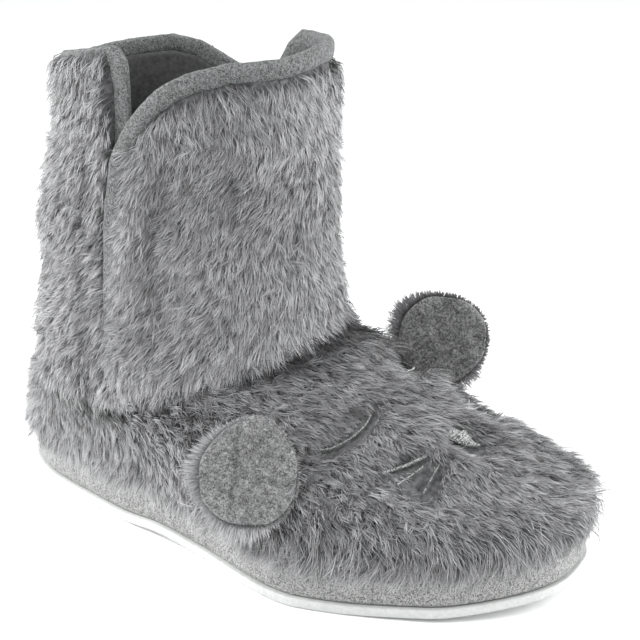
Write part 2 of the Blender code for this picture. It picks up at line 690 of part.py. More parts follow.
def ear_layer(name, base, tip_way, face_way, depths, fringe, material, collection):
    """One layer of an ear: a round pad, pinched at its base, between two depths.

    The outline starts at the base, where angle is 0, and widens to a full circle at the tip.
    """
    up = np.array(tip_way) / np.linalg.norm(tip_way)
    face = np.array(face_way) - up * np.dot(face_way, up)
    face /= np.linalg.norm(face)
    side = np.cross(up, face)
    angle = np.linspace(0, 2 * np.pi, EAR_STEPS, endpoint=False)
    jag = fringe * np.where(np.arange(EAR_STEPS) % 2 == 0, 1.0, 0.45) * np.sin(angle / 2) ** 2
    radius = EAR_RADIUS + jag
    pinch = 0.62 + 0.38 * np.sin(angle / 2)
    across = radius * np.sin(angle) * pinch
    along = EAR_RADIUS - radius * np.cos(angle) - EAR_SINK
    share = np.array([0.42, 0.74, 0.93, 1.0])
    middle = np.array([0.0, EAR_RADIUS - EAR_SINK])
    plan = middle + (np.stack([across, along], -1) - middle) * share[:, None, None]
    cup = EAR_CUP * (((plan - middle) / EAR_RADIUS) ** 2).sum(-1)
    swell = np.sqrt(np.clip(1 - share ** 4, 0, 1))[:, None]
    low, high = depths
    mid = (low + high) / 2
    sheets = [mid + (high - mid) * swell + cup, mid + (low - mid) * swell + cup]
    points, faces = [], []
    for sheet, depth in zip(sheets, (high, low)):
        start = len(points)
        points.append(base + up * middle[1] + face * depth)
        spots = (base + plan[..., :1] * side + plan[..., 1:] * up + sheet[..., None] * face)
        points.extend(spots.reshape(-1, 3))
        ids = start + 1 + np.arange(spots.shape[0] * EAR_STEPS).reshape(-1, EAR_STEPS)
        faces += loop_faces(ids, True)
        faces += [(start, ids[0, k], ids[0, (k + 1) % EAR_STEPS]) for k in range(EAR_STEPS)]
    return new_object(name, points, faces, material, collection)


def make_ears(materials, collection, cutters):
    """Two ears, each a fleece pad on a pile pad, seated on the vamp's pile."""
    clear = make_upper(materials, cutters, "vamp_clearance", CLEARANCE * 1.5)
    clear.display_type = "WIRE"
    clear.hide_render = True
    for name, turn, row, off, tip_way, face_way in EARS:
        base = skin(np.radians(turn), row, PILE_TOP + off * EAR_BACK_THICKNESS)
        layers = (
            ("fleece", (CLEARANCE / 2, EAR_FACE_THICKNESS), 0.0, materials["fleece"]),
            ("pile", (-EAR_BACK_THICKNESS, -CLEARANCE / 2), EAR_FRINGE, materials["pile"]),
        )
        for layer, depths, fringe, material in layers:
            pad = ear_layer(f"{name}_{layer}", base, tip_way, face_way, depths, fringe,
                            material, collection)
            cut = pad.modifiers.new("seat", "BOOLEAN")
            cut.operation = "DIFFERENCE"
            cut.solver = "EXACT"
            cut.object = clear


def prepared_scene():
    for thing in list(bpy.data.objects):
        bpy.data.objects.remove(thing, do_unlink=True)
    parts = bpy.data.collections.new("bootie_slipper")
    cutters = bpy.data.collections.new("cutters")
    for group in (parts, cutters):
        bpy.context.scene.collection.children.link(group)
    return parts, cutters


def make_materials():
    made = {}
    for name, (colour, roughness) in MATERIALS.items():
        material = bpy.data.materials.new(name)
        material.use_nodes = True
        shader = material.node_tree.nodes["Principled BSDF"]
        shader.inputs["Base Color"].default_value = (*colour, 1.0)
        shader.inputs["Roughness"].default_value = roughness
        shader.inputs["Metallic"].default_value = 0.0
        made[name] = material
    return made


def main():
    parts, cutters = prepared_scene()
    materials = make_materials()
    make_sole(materials, parts)
    make_upper(materials, parts)
    make_front_panel(materials, parts)
    make_bindings(materials, parts)
    make_ears(materials, parts, cutters)


main()
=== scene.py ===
# %% [markdown]
# # A house boot in deep grey pile
#
# The real boot is cut and sewn: pile fabric for the foot and shaft, a suede strip bound
# over every raw edge, two round ears, a little embroidery, and a foam sole wrapped in
# suede on a thin rubber outsole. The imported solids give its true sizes. This lesson lays
# the visible surfaces over them, in metres, with the toe towards +X.

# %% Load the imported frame
import bmesh
import bpy
import numpy as np
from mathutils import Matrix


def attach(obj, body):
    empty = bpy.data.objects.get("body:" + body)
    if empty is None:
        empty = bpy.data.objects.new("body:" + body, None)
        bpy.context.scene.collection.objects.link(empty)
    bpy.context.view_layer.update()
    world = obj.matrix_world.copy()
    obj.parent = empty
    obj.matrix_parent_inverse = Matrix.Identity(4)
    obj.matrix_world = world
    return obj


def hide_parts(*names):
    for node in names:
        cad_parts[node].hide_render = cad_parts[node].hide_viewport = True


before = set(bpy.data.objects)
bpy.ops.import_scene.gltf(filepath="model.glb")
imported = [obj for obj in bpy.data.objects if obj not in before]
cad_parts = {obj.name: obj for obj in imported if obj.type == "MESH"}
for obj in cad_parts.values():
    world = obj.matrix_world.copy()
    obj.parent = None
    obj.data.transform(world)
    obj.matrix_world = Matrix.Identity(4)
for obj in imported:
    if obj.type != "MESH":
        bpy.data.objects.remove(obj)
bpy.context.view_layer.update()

print("solids loaded:", len(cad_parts))

# %% [markdown]
# ## The sizes of the boot
#
# Everything soft follows one surface, the lining face. It could be sculpted, but a table of
# rings is easier to correct: each ring goes once round the foot or the shaft, and the
# columns say where its heel and toe ends lie and how wide it is. The numbers are those of
# the solids, so that what is drawn over them always fits.

# %% Named sizes and ring tables
SOLE_LENGTH, BALL_WIDTH, WAIST_WIDTH, HEEL_WIDTH = 0.258, 0.115, 0.090, 0.084
OUTSOLE_THICKNESS, OUTSOLE_LEDGE, SIDEWALL_HEIGHT = 0.004, 0.0010, 0.0197
INSOLE_THICKNESS, CLEARANCE = 0.0035, 0.0003
TOE_SPRING, HEEL_SPRING, ARCH_RISE, SEAT_INSET = 0.006, 0.002, 0.002, 0.006
INSTEP_HEIGHT, SHAFT_HEIGHT, SHAFT_LENGTH, SHAFT_WIDTH = 0.090, 0.190, 0.116, 0.082
SHAFT_CENTRE, SHAFT_ASIDE = -0.049, -0.0015
BACKING, PILE_DEPTH = 0.003, 0.0072
SLIT_TURN, BACK_EDGE_TURN = np.radians(85.0), np.radians(92.0)
HEM_LAP, NOTCH_DEPTH, CORNER_RUN = 0.010, 0.034, 0.030
BINDING_WIDTH, BINDING_THICKNESS, BACK_BINDING_THICKNESS = 0.0075, 0.0046, 0.0042
HALF_LENGTH, HALF_BALL = SOLE_LENGTH / 2, BALL_WIDTH / 2
SEAT_HEIGHT = OUTSOLE_THICKNESS + SIDEWALL_HEIGHT + 2 * CLEARANCE
OVER, PILE_TOP = BACKING + CLEARANCE, BACKING + PILE_DEPTH

CENTRE_PLACE = (0.0, 0.18, 0.42, 0.66, 0.85, 1.0)
CENTRE_SHIFT = (-0.02, -0.04, -0.09, -0.165, -0.08, 0.06)
# back, front, back_up, front_up, bow, heel, waist, ball, power, sway, spring
FOOT_RINGS = np.array((
    (-0.953, 0.953, 0.00, 0.00, 1.0, 1.00, 1.00, 1.00, 0.72, 1.00, 1.00),
    (-0.945, 0.970, 0.10, 0.060, 1.0, 1.03, 1.02, 1.01, 0.73, 1.00, 0.95),
    (-0.938, 0.930, 0.20, 0.120, 1.0, 1.05, 1.04, 0.98, 0.75, 1.00, 0.80),
    (-0.936, 0.855, 0.28, 0.210, 1.0, 1.07, 1.05, 0.91, 0.77, 0.98, 0.60),
    (-0.930, 0.755, 0.34, 0.330, 1.0, 1.09, 1.06, 0.84, 0.80, 0.92, 0.40),
    (-0.917, 0.620, 0.39, 0.455, 1.3, 1.11, 1.07, 0.79, 0.84, 0.80, 0.22),
    (-0.905, 0.470, 0.43, 0.595, 1.7, 1.14, 1.08, 0.78, 0.88, 0.62, 0.10),
    (-0.893, 0.320, 0.46, 0.73, 2.3, 1.17, 1.10, 0.81, 0.93, 0.40, 0.04),
    (-0.882, 0.190, 0.49, 0.875, 3.2, 1.19, 1.11, 0.85, 0.98, 0.15, 0.00)))
# long, wide, ahead, back_up, front_up, bow
SHAFT_RINGS = np.array((
    (1.075, 1.06, 0.005, -0.26, 0.02, 4.0), (1.035, 1.04, 0.002, -0.02, 0.17, 2.6),
    (1.005, 1.01, 0.004, 0.25, 0.34, 1.4), (0.988, 1.00, 0.014, 0.45, 0.49, 1.0),
    (0.935, 1.00, 0.039, 0.64, 0.66, 1.0), (0.903, 1.01, 0.050, 0.83, 0.85, 1.0),
    (0.885, 1.03, 0.055, 1.02, 1.04, 1.0), (0.880, 1.04, 0.056, 1.20, 1.22, 1.0)))
BACK_COLLAR = ((-92, -84, -70, -50, -28, 0, 28, 50, 64, 76, 92),
               (0.30, 0.31, 0.24, 0.16, 0.07, 0.00, 0.07, 0.12, 0.04, -0.13, -0.34))
FRONT_COLLAR = ((85, 104, 109, 118, 150, 180, 203, 227, 239, 246, 275),
                (0.08, 0.11, 0.215, 0.265, 0.29, 0.28, 0.19, 0.17, 0.09, 0.045, 0.04))
print("rings:", len(FOOT_RINGS), "on the foot,", len(SHAFT_RINGS), "on the shaft")

# %% [markdown]
# ## The lining face
#
# A point is named by its turn round the ring, 0 at the back and 180 degrees at the toe, and
# by its row, the ring number with a fraction. Between rings a smooth curve runs through the
# table. The normal comes from two small steps on the surface, so no formula for it is
# needed and it follows any change to the table.


# %% Sole outline and lining face
def smooth_table(rows, at):
    """Cubic curve through neighbouring rows of a table, read at fractional row numbers."""
    last = len(rows) - 1
    at = np.clip(at, 0.0, last)
    low = np.minimum(at.astype(int), last - 1)
    part = (at - low)[..., None]
    a, b = rows[np.maximum(low - 1, 0)], rows[low]
    c, d = rows[low + 1], rows[np.minimum(low + 2, last)]
    return 0.5 * (2 * b + (c - a) * part + (2 * a - 5 * b + 4 * c - d) * part ** 2
                  + (3 * b - a - 3 * c + d) * part ** 3)


def lift(x):
    """Height of the sole's underside: straight rises at heel and toe, an eased arch."""
    place = (x + HALF_LENGTH) / SOLE_LENGTH
    part = np.interp(place, (0.28, 0.375, 0.46), (0.0, 1.0, 0.0))
    return (HEEL_SPRING * np.interp(place, (0.0, 0.10, 0.28), (1.0, 0.12, 0.0))
            + ARCH_RISE * part * part * (3 - 2 * part)
            + TOE_SPRING * np.interp(place, (0.74, 0.87, 1.0), (0.0, 0.28, 1.0)))


def half_widths(turn, heel, waist, ball, power):
    """Eased widths from heel to waist to ball, times the sine of the turn to a power."""
    place = (1 - np.cos(turn)) / 2
    stations = (heel, heel, waist, ball, 0.96 * ball, 0.90 * ball)
    places = (0.0, 0.18, 0.42, 0.66, 0.86, 1.0)
    width = heel + 0 * place
    for k in range(5):
        part = np.clip((place - places[k]) / (places[k + 1] - places[k]), 0, 1)
        width = width + (stations[k + 1] - stations[k]) * part * part * (3 - 2 * part)
    return width * np.abs(np.sin(turn)) ** power


def centre_line(turn):
    return HALF_BALL * np.interp((1 - np.cos(turn)) / 2, CENTRE_PLACE, CENTRE_SHIFT)


def ring_rows():
    """Foot and shaft tables in metres, as one table from the seat to above the collar."""
    foot, shaft = FOOT_RINGS.copy(), np.zeros((len(SHAFT_RINGS), 11))
    foot[:, :2] *= HALF_LENGTH
    foot[:, 2:4] = SEAT_HEIGHT + (INSTEP_HEIGHT - SEAT_HEIGHT) * foot[:, 2:4]
    foot[:, 5] *= HEEL_WIDTH / 2 - SEAT_INSET
    foot[:, 6] *= WAIST_WIDTH / 2 - SEAT_INSET
    foot[:, 7] *= HALF_BALL - SEAT_INSET
    long, wide, ahead, low, high, bow = SHAFT_RINGS.T
    middle = SHAFT_CENTRE + ahead * SHAFT_LENGTH
    shaft[:, 0], shaft[:, 1] = middle - long * SHAFT_LENGTH / 2, middle + long * SHAFT_LENGTH / 2
    shaft[:, 2] = INSTEP_HEIGHT + (SHAFT_HEIGHT - INSTEP_HEIGHT) * low
    shaft[:, 3] = INSTEP_HEIGHT + (SHAFT_HEIGHT - INSTEP_HEIGHT) * high
    shaft[:, 4], shaft[:, 8] = bow, 1.0
    shaft[:, 5:8] = (wide * SHAFT_WIDTH / 2)[:, None]
    rows = np.concatenate([foot, shaft])
    return np.column_stack([rows, SHAFT_ASIDE * (1 - rows[:, 9])])


RING_TABLE = ring_rows()
TOP_ROW = len(RING_TABLE) - 1
HEM_ROW = len(FOOT_RINGS) - 0.25


def lining_face(turn, row):
    """x and z run from the ring's heel end to its toe end, y is the eased half width."""
    turn, row = np.broadcast_arrays(np.asarray(turn, float), np.asarray(row, float))
    (back, front, low, high, bow, heel, waist, ball, power, sway, spring,
     aside) = np.moveaxis(smooth_table(RING_TABLE, row), -1, 0)
    place = (1 - np.cos(turn)) / 2
    x = back + (front - back) * place
    z = low + (high - low) * place ** bow
    width = half_widths(turn, heel, waist, ball, np.minimum(power, 1.0))
    y = np.sign(np.sin(turn)) * width + centre_line(turn) * sway + aside
    return np.stack([x, y, z + lift(x) * spring], -1)


def unit(vectors):
    return vectors / np.maximum(np.linalg.norm(vectors, axis=-1, keepdims=True), 1e-12)


def tangents(turn, row):
    """Metres per radian round the ring and metres per row up it, by small steps."""
    step = 0.01
    high, low = np.minimum(row + step, TOP_ROW), np.maximum(row - step, 0)
    along = (lining_face(turn + step, row) - lining_face(turn - step, row)) / (2 * step)
    up = (lining_face(turn, high) - lining_face(turn, low)) / (high - low)[..., None]
    return along, up


def ground_at(turn, row):
    """The lining face at a turn and row, with its outward normal and both tangents."""
    along, up = tangents(turn, row)
    return lining_face(turn, row), unit(np.cross(up, along)), along, up


def skin(turn, row, offset):
    """The lining face moved along its outward normal by an offset."""
    turn, row, offset = np.broadcast_arrays(turn, row, offset)
    ground, normal = ground_at(turn, row)[:2]
    return ground + normal * offset[..., None]


quarters = 1000 * skin(np.radians([0.0, 90.0, 180.0, 270.0]), np.full(4, 1.0), PILE_TOP)
print("pile reaches x", quarters[[0, 2], 0].round(1), "y", quarters[[1, 3], 1].round(1), "mm")

# %% [markdown]
# ## Laying the shaft out flat
#
# A sewn shaft is a flat pattern wrapped round the leg. Its edges are easiest to draw on that
# pattern, as arc length round the collar against height over the floor. Two tables turn
# such a place back into turn and row: the first for the length, the second for the height.

# %% Flat layout and the two bound edges
turns_table = np.radians(np.arange(0.0, 361.0, 1.0))
collar_ring = lining_face(turns_table, np.full(361, TOP_ROW - 2.0))
lengths_table = np.concatenate([[0.0], np.cumsum(np.linalg.norm(np.diff(collar_ring, axis=0),
                                                                axis=1))])
LAP = lengths_table[-1]
rows_table = np.linspace(4.0, TOP_ROW, 240)
heights_table = np.linspace(0.04, 0.215, 351)
row_of = np.array([np.interp(heights_table, lining_face(turn, rows_table)[:, 2], rows_table)
                   for turn in turns_table])


def length_at(turn):
    whole = np.floor(turn / (2 * np.pi))
    return np.interp(turn - whole * 2 * np.pi, turns_table, lengths_table) + whole * LAP


def turn_at(length):
    whole = np.floor(length / LAP)
    return np.interp(length - whole * LAP, lengths_table, turns_table) + whole * 2 * np.pi


def row_at_height(turn, height):
    """Row whose height is the wanted one, read from the table between its four neighbours."""
    across = np.degrees(turn) % 360
    upward = np.clip((height - heights_table[0]) / (heights_table[1] - heights_table[0]),
                     0, len(heights_table) - 1.001)
    i, j = across.astype(int) % 360, upward.astype(int)
    a, b = across - np.floor(across), upward - j
    return ((row_of[i, j] * (1 - a) + row_of[i + 1, j] * a) * (1 - b)
            + (row_of[i, j + 1] * (1 - a) + row_of[i + 1, j + 1] * a) * b)


def flat_to_skin(flat, offset):
    turn = turn_at(flat[..., 0])
    return skin(turn, row_at_height(turn, flat[..., 1]), offset)


def front_edge():
    """Up the slit, over the rounded corner, along the collar and down the other slit."""
    start, end = length_at(SLIT_TURN), length_at(2 * np.pi - SLIT_TURN)
    low = SHAFT_HEIGHT - NOTCH_DEPTH
    share = np.linspace(0, 1, 60) ** 1.7
    run = np.concatenate([share * CORNER_RUN,
                          np.linspace(CORNER_RUN, end - start - CORNER_RUN, 120)[1:-1],
                          end - start - share[::-1] * CORNER_RUN])
    top = SHAFT_HEIGHT + NOTCH_DEPTH * np.interp(np.degrees(turn_at(start + run)), *FRONT_COLLAR)
    near = np.minimum(run, end - start - run) / CORNER_RUN
    climb = (1 - np.clip(1 - near, 0, 1) ** 1.6) ** 0.77
    return np.stack([start + run, low + (top - low) * climb], -1)


def back_edge():
    """Along the collar of the back panel, its two front corners rounded."""
    start, end = length_at(-BACK_EDGE_TURN), length_at(BACK_EDGE_TURN)
    corner = BINDING_WIDTH * 1.08
    turn_in = corner * (1 - np.cos(np.linspace(0, np.pi / 2, 10)))
    run = np.concatenate([turn_in, np.linspace(corner, end - start - corner, 160)[1:-1],
                          end - start - turn_in[::-1]])
    top = SHAFT_HEIGHT + NOTCH_DEPTH * np.interp(np.degrees(turn_at(start + run)), *BACK_COLLAR)
    near = np.clip(np.minimum(run, end - start - run) / corner, 0, 1)
    return np.stack([start + run, top - corner * (1 - np.sqrt(1 - (1 - near) ** 2))], -1)


def inward(edge):
    """Unit direction at right angles to the edge, into the panel."""
    ahead = unit(np.gradient(edge, axis=0))
    return np.stack([ahead[:, 1], -ahead[:, 0]], -1)


def edge_height(edge, inset, length):
    """Height of the edge moved inwards, read at lengths of the flat layout."""
    moved = edge + inward(edge) * inset
    order = np.argsort(moved[:, 0], kind="stable")
    return np.interp(length, moved[order, 0], moved[order, 1])


FRONT_EDGE, BACK_EDGE = front_edge(), back_edge()
UNDER_ROW = float(row_at_height(np.array(np.pi), lining_face(np.pi, HEM_ROW)[2] + HEM_LAP))
print("collar is", round(LAP * 1000), "mm round; vamp ends at row", round(UNDER_ROW, 2))

# %% [markdown]
# ## Meshes from grids
#
# Every piece is a grid of points, so one helper turns a grid into quads: each cell joins
# four neighbours, and a closed grid joins its last column to its first. A second helper
# makes a wall from two grids with strips round its rim. Writing whole arrays with
# foreach_set is far quicker than adding vertices one by one.


# %% Mesh helpers
MERGE_DISTANCE = 0.000004


def grid_cells(rows, columns, close):
    """Corner numbers of every cell of a grid, the last column joined to the first if closed."""
    r, c = np.meshgrid(np.arange(rows - 1), np.arange(columns - (not close)), indexing="ij")
    n = (c + 1) % columns
    return np.stack([r * columns + c, r * columns + n, (r + 1) * columns + n,
                     (r + 1) * columns + c], -1).reshape(-1, 4)


def mesh_of(name, points, corners, starts):
    """Mesh from points, the corner numbers of all faces in a row, and where each face starts."""
    mesh = bpy.data.meshes.new(name)
    mesh.vertices.add(len(points))
    mesh.vertices.foreach_set("co", points.ravel())
    mesh.loops.add(len(corners))
    mesh.loops.foreach_set("vertex_index", corners)
    mesh.polygons.add(len(starts))
    mesh.polygons.foreach_set("loop_start", starts)
    mesh.update(calc_edges=True)
    return mesh


def in_scene(name, data):
    """New object that shows a mesh, a light or a camera."""
    thing = bpy.data.objects.new(name, data)
    bpy.context.scene.collection.objects.link(thing)
    return thing


def hand_over(piece, replaces):
    """The piece rides the boot's one body and hides the solids it stands for."""
    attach(piece, "root")
    if replaces:
        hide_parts(*replaces)


def add_piece(name, points, faces, materials, replaces=(), marks=None):
    """Mesh object from points and quads, its doubles merged and its faces turned outwards."""
    mesh = mesh_of(name, np.asarray(points).reshape(-1, 3), faces.ravel(),
                   np.arange(len(faces)) * faces.shape[1])
    for material in materials:
        mesh.materials.append(material)
    if marks is not None:
        mesh.polygons.foreach_set("material_index", marks)
    shaped = bmesh.new()
    shaped.from_mesh(mesh)
    bmesh.ops.remove_doubles(shaped, verts=shaped.verts, dist=MERGE_DISTANCE)
    bmesh.ops.recalc_face_normals(shaped, faces=shaped.faces)
    shaped.to_mesh(mesh)
    shaped.free()
    mesh.shade_smooth()
    hand_over(in_scene(name, mesh), replaces)
    print(name, len(mesh.polygons), "faces")


def wall(inner, outer, close):
    """Points, faces and side marks of a wall between two grids: 0 inside, 1 outside and rim."""
    rows, columns = inner.shape[:2]
    count = rows * columns
    cells = grid_cells(rows, columns, close)
    parts = [cells[:, ::-1], cells + count]
    edge = np.arange(columns - (not close))
    after = (edge + 1) % columns
    for row in (0, rows - 1):
        a, b = row * columns + edge, row * columns + after
        parts.append(np.stack([a, b, b + count, a + count], -1))
    if not close:
        up = np.arange(rows - 1) * columns
        for column in (0, columns - 1):
            a, b = up + column, up + column + columns
            parts.append(np.stack([a, b, b + count, a + count], -1))
    marks = np.concatenate([np.zeros(len(cells), int), np.ones(sum(map(len, parts[1:])), int)])
    return np.concatenate([inner.reshape(-1, 3), outer.reshape(-1, 3)]), np.concatenate(parts), marks


def shrunk(points, middle, shares):
    """Copies of the points drawn in towards the middle, one for each share."""
    return [middle + (points - middle) * share for share in shares]


def waves(points, size, seed):
    """Smooth wandering value from -1 to 1: three times sin·cos + 0.3·sin, summed, over 2.2."""
    pick = np.random.default_rng(seed)
    total = 0.0
    for _ in range(3):
        turned = points @ pick.normal(size=(3, 3)) / size
        total = total + np.sin(turned[..., 0] + pick.uniform(0, 6)) * np.cos(
            turned[..., 1] + pick.uniform(0, 6)) + 0.3 * np.sin(2.3 * turned[..., 2])
    return np.clip(total / 2.2, -1, 1)


print("cells of a 3 by 4 closed grid:", len(grid_cells(3, 4, True)))

# %% [markdown]
# ## Grain that several materials share
#
# Suede, rubber and fleece all show a fine speckle where fibres catch the light. It is built
# once as a node group: two noises of different size are mixed and pushed apart by a
# contrast value. It puts out a mask for the colour and a height for the bump, and each
# material keeps its own shader.


# %% Speckle group
COARSE_SCALE, COARSE_SHARE, MID_GREY = 0.4, 0.35, 0.5


def number_socket(tree, name, way, value=0.0):
    """A number on the outside of a node group, with the value it starts from."""
    made = tree.interface.new_socket(name=name, in_out=way, socket_type="NodeSocketFloat")
    made.default_value = value


def maths(nodes, operation, place, number):
    """A maths node with a constant number on one of its inputs."""
    made = nodes.new("ShaderNodeMath")
    made.operation = operation
    made.inputs[place].default_value = number
    return made


def speckle_group():
    """Fine noise mixed with coarser noise; the mask is (mix - 0.5) times contrast plus 0.5."""
    tree = bpy.data.node_groups.new("speckle", "ShaderNodeTree")
    number_socket(tree, "Scale", "INPUT", 1500.0)
    number_socket(tree, "Contrast", "INPUT", 2.0)
    number_socket(tree, "Mask", "OUTPUT")
    number_socket(tree, "Height", "OUTPUT")
    nodes, links = tree.nodes, tree.links
    into, out = nodes.new("NodeGroupInput"), nodes.new("NodeGroupOutput")
    place = nodes.new("ShaderNodeTexCoord")
    fine, coarse = nodes.new("ShaderNodeTexNoise"), nodes.new("ShaderNodeTexNoise")
    coarser = maths(nodes, "MULTIPLY", 1, COARSE_SCALE)
    links.new(into.outputs["Scale"], coarser.inputs[0])
    links.new(into.outputs["Scale"], fine.inputs["Scale"])
    links.new(coarser.outputs[0], coarse.inputs["Scale"])
    for noise in (fine, coarse):
        links.new(place.outputs["Object"], noise.inputs["Vector"])
        noise.inputs["Detail"].default_value = 2.0
    both = nodes.new("ShaderNodeMix")
    both.inputs[0].default_value = COARSE_SHARE
    links.new(fine.outputs["Fac"], both.inputs[2])
    links.new(coarse.outputs["Fac"], both.inputs[3])
    spread = maths(nodes, "SUBTRACT", 1, MID_GREY)
    links.new(both.outputs[0], spread.inputs[0])
    more = maths(nodes, "MULTIPLY_ADD", 2, MID_GREY)
    links.new(spread.outputs[0], more.inputs[0])
    links.new(into.outputs["Contrast"], more.inputs[1])
    links.new(more.outputs[0], out.inputs["Mask"])
    links.new(both.outputs[0], out.inputs["Height"])
    return tree


SPECKLE = speckle_group()


def new_material(name, sockets):
    """Material whose shader has the given constant sockets, and that shader."""
    material = bpy.data.materials.new(name)
    material.use_nodes = True
    shader = material.node_tree.nodes["Principled BSDF"]
    for label, value in sockets.items():
        shader.inputs[label].default_value = value
    return material, shader


def grained(name, dark, light, scale, contrast, roughness, bump, sheen=0.0, depth=0.0002,
            metallic=0.0):
    """Matt material: the speckle mask picks between two colours and its height gives bump."""
    material, shader = new_material(name, {
        "Roughness": roughness, "Metallic": metallic, "Sheen Weight": sheen,
        "Sheen Roughness": 0.5, "Specular IOR Level": 0.3})
    nodes, links = material.node_tree.nodes, material.node_tree.links
    grain = nodes.new("ShaderNodeGroup")
    grain.node_tree = SPECKLE
    grain.inputs["Scale"].default_value = scale
    grain.inputs["Contrast"].default_value = contrast
    ramp = nodes.new("ShaderNodeValToRGB")
    ramp.color_ramp.elements[0].color = (*dark, 1)
    ramp.color_ramp.elements[1].color = (*light, 1)
    raised = nodes.new("ShaderNodeBump")
    raised.inputs["Strength"].default_value = bump
    raised.inputs["Distance"].default_value = depth
    links.new(grain.outputs["Mask"], ramp.inputs["Fac"])
    links.new(grain.outputs["Height"], raised.inputs["Height"])
    links.new(ramp.outputs["Color"], shader.inputs["Base Color"])
    links.new(raised.outputs["Normal"], shader.inputs["Normal"])
    return material


SUEDE_BINDING = grained("suede_binding", (0.034, 0.035, 0.035), (0.185, 0.19, 0.19), 2000, 4.0,
                        0.9, 1.0, 0.05)
SUEDE_SIDE = grained("suede_side", (0.085, 0.087, 0.085), (0.40, 0.40, 0.395), 2200, 4.6, 0.92,
                     0.7, 0.05)
RUBBER = grained("outsole_rubber", (0.44, 0.45, 0.44), (0.58, 0.59, 0.58), 900, 2.0, 0.55, 0.25)
LINING = grained("lining_fabric", (0.032, 0.032, 0.033), (0.085, 0.085, 0.086), 700, 2.2, 0.95,
                 0.5, 0.1)
UNDERFUR = grained("under_fur", (0.035, 0.035, 0.037), (0.14, 0.14, 0.142), 500, 3.0, 1.0,
                   0.9, 0.0, 0.0008)
FLEECE = grained("curled_fleece", (0.05, 0.05, 0.05), (0.29, 0.29, 0.292), 1500, 3.2, 1.0, 0.9,
                 0.10, 0.0004)
print("materials:", len(bpy.data.materials))

# %% [markdown]
# ## Sole: rubber, wrapped side and insole
#
# The outsole is a thin slab that stands out a millimetre as a pale ledge. Over it a foam
# block is wrapped in suede, so its corners are soft. Both are stacks of the same outline,
# moved in or out ring by ring; the flat faces are rings that shrink to the centre line.


# %% Sole pieces
def sole_outline(turn, inset):
    """Edge of the sole in plan, moved inwards at right angles to itself."""
    def edge(angle):
        side = half_widths(angle, HEEL_WIDTH / 2, WAIST_WIDTH / 2, HALF_BALL, 0.72)
        return np.stack([-HALF_LENGTH * np.cos(angle),
                         side * np.sign(np.sin(angle)) + centre_line(angle)], -1)
    ahead = unit(edge(turn + 0.02) - edge(turn - 0.02))
    return edge(turn) - np.stack([-ahead[..., 1], ahead[..., 0]], -1) * inset


def stacked(name, plans, heights, material, node):
    """Rings from plan outlines at heights over the floor, closed towards the centre line."""
    rings = [np.column_stack([plan, height + lift(plan[:, 0])])
             for plan, height in zip(plans, heights)]
    mirror = np.roll(np.arange(len(plans[0]))[::-1], 1)
    low, high = [shrunk(ring, (ring + ring[mirror]) / 2, (0.94, 0.8, 0.6, 0.4, 0.2, 0.0))
                 for ring in (rings[0], rings[-1])]
    points = np.stack(low[::-1] + rings + high)
    add_piece(name, points, grid_cells(*points.shape[:2], True), [material], (node,))


ROUND = np.linspace(0, 2 * np.pi, 192, endpoint=False)
# for each ring: share of the thickness upwards, and inset in ledge widths (insole: metres)
SLAB_UP = np.array([0.0, 0.03, 0.14, 0.24, 0.76, 0.88, 0.96, 1.0])
SLAB_IN = np.array([1.6, 0.7, 0.1, 0.0, 0.0, 0.1, 0.35, 0.7]) - 1
SIDE_UP = np.array([0.0, 0.03, 0.10, 0.25, 0.45, 0.65, 0.80, 0.88, 0.94, 0.98, 1.0])
SIDE_IN = np.array([1.3, 0.6, 0.25, 0.05, 0.0, 0.05, 0.2, 0.5, 1.0, 1.7, 2.6])
SOCK_UP = np.array([0.0, 0.5, 0.9, 1.0])
SOCK_IN = (0.0016, 0.0008, 0.0014, 0.0030)
stacked("outsole_slab", [sole_outline(ROUND, OUTSOLE_LEDGE * k) for k in SLAB_IN],
        OUTSOLE_THICKNESS * SLAB_UP, RUBBER, "outsole")
stacked("wrapped_side", [sole_outline(ROUND, OUTSOLE_LEDGE * k) for k in SIDE_IN],
        OUTSOLE_THICKNESS + CLEARANCE + SIDEWALL_HEIGHT * SIDE_UP, SUEDE_SIDE, "sidewall")
seat = lining_face(ROUND, np.zeros(len(ROUND)))
seat_out = unit((seat - seat.mean(0)) * (0.4, 1, 0))[:, :2]
stacked("insole_sock", [seat[:, :2] - seat_out * inset for inset in SOCK_IN],
        SEAT_HEIGHT + INSOLE_THICKNESS * SOCK_UP, LINING, "insole")

# %% [markdown]
# ## Where the pile swells and where it is pressed
#
# Stuffed pile never lies even: it rolls in soft folds across the heel and shaft. Round the
# face, stitching pulls the fabric down, and the hairs there are short. Folds are listed by
# turn, row, their reach in both and their depth; the pressed places by their spot in plan,
# long and short half axes, heading and depth. All are bell curves: folds are added up, and
# where pressed places overlap the strongest counts.

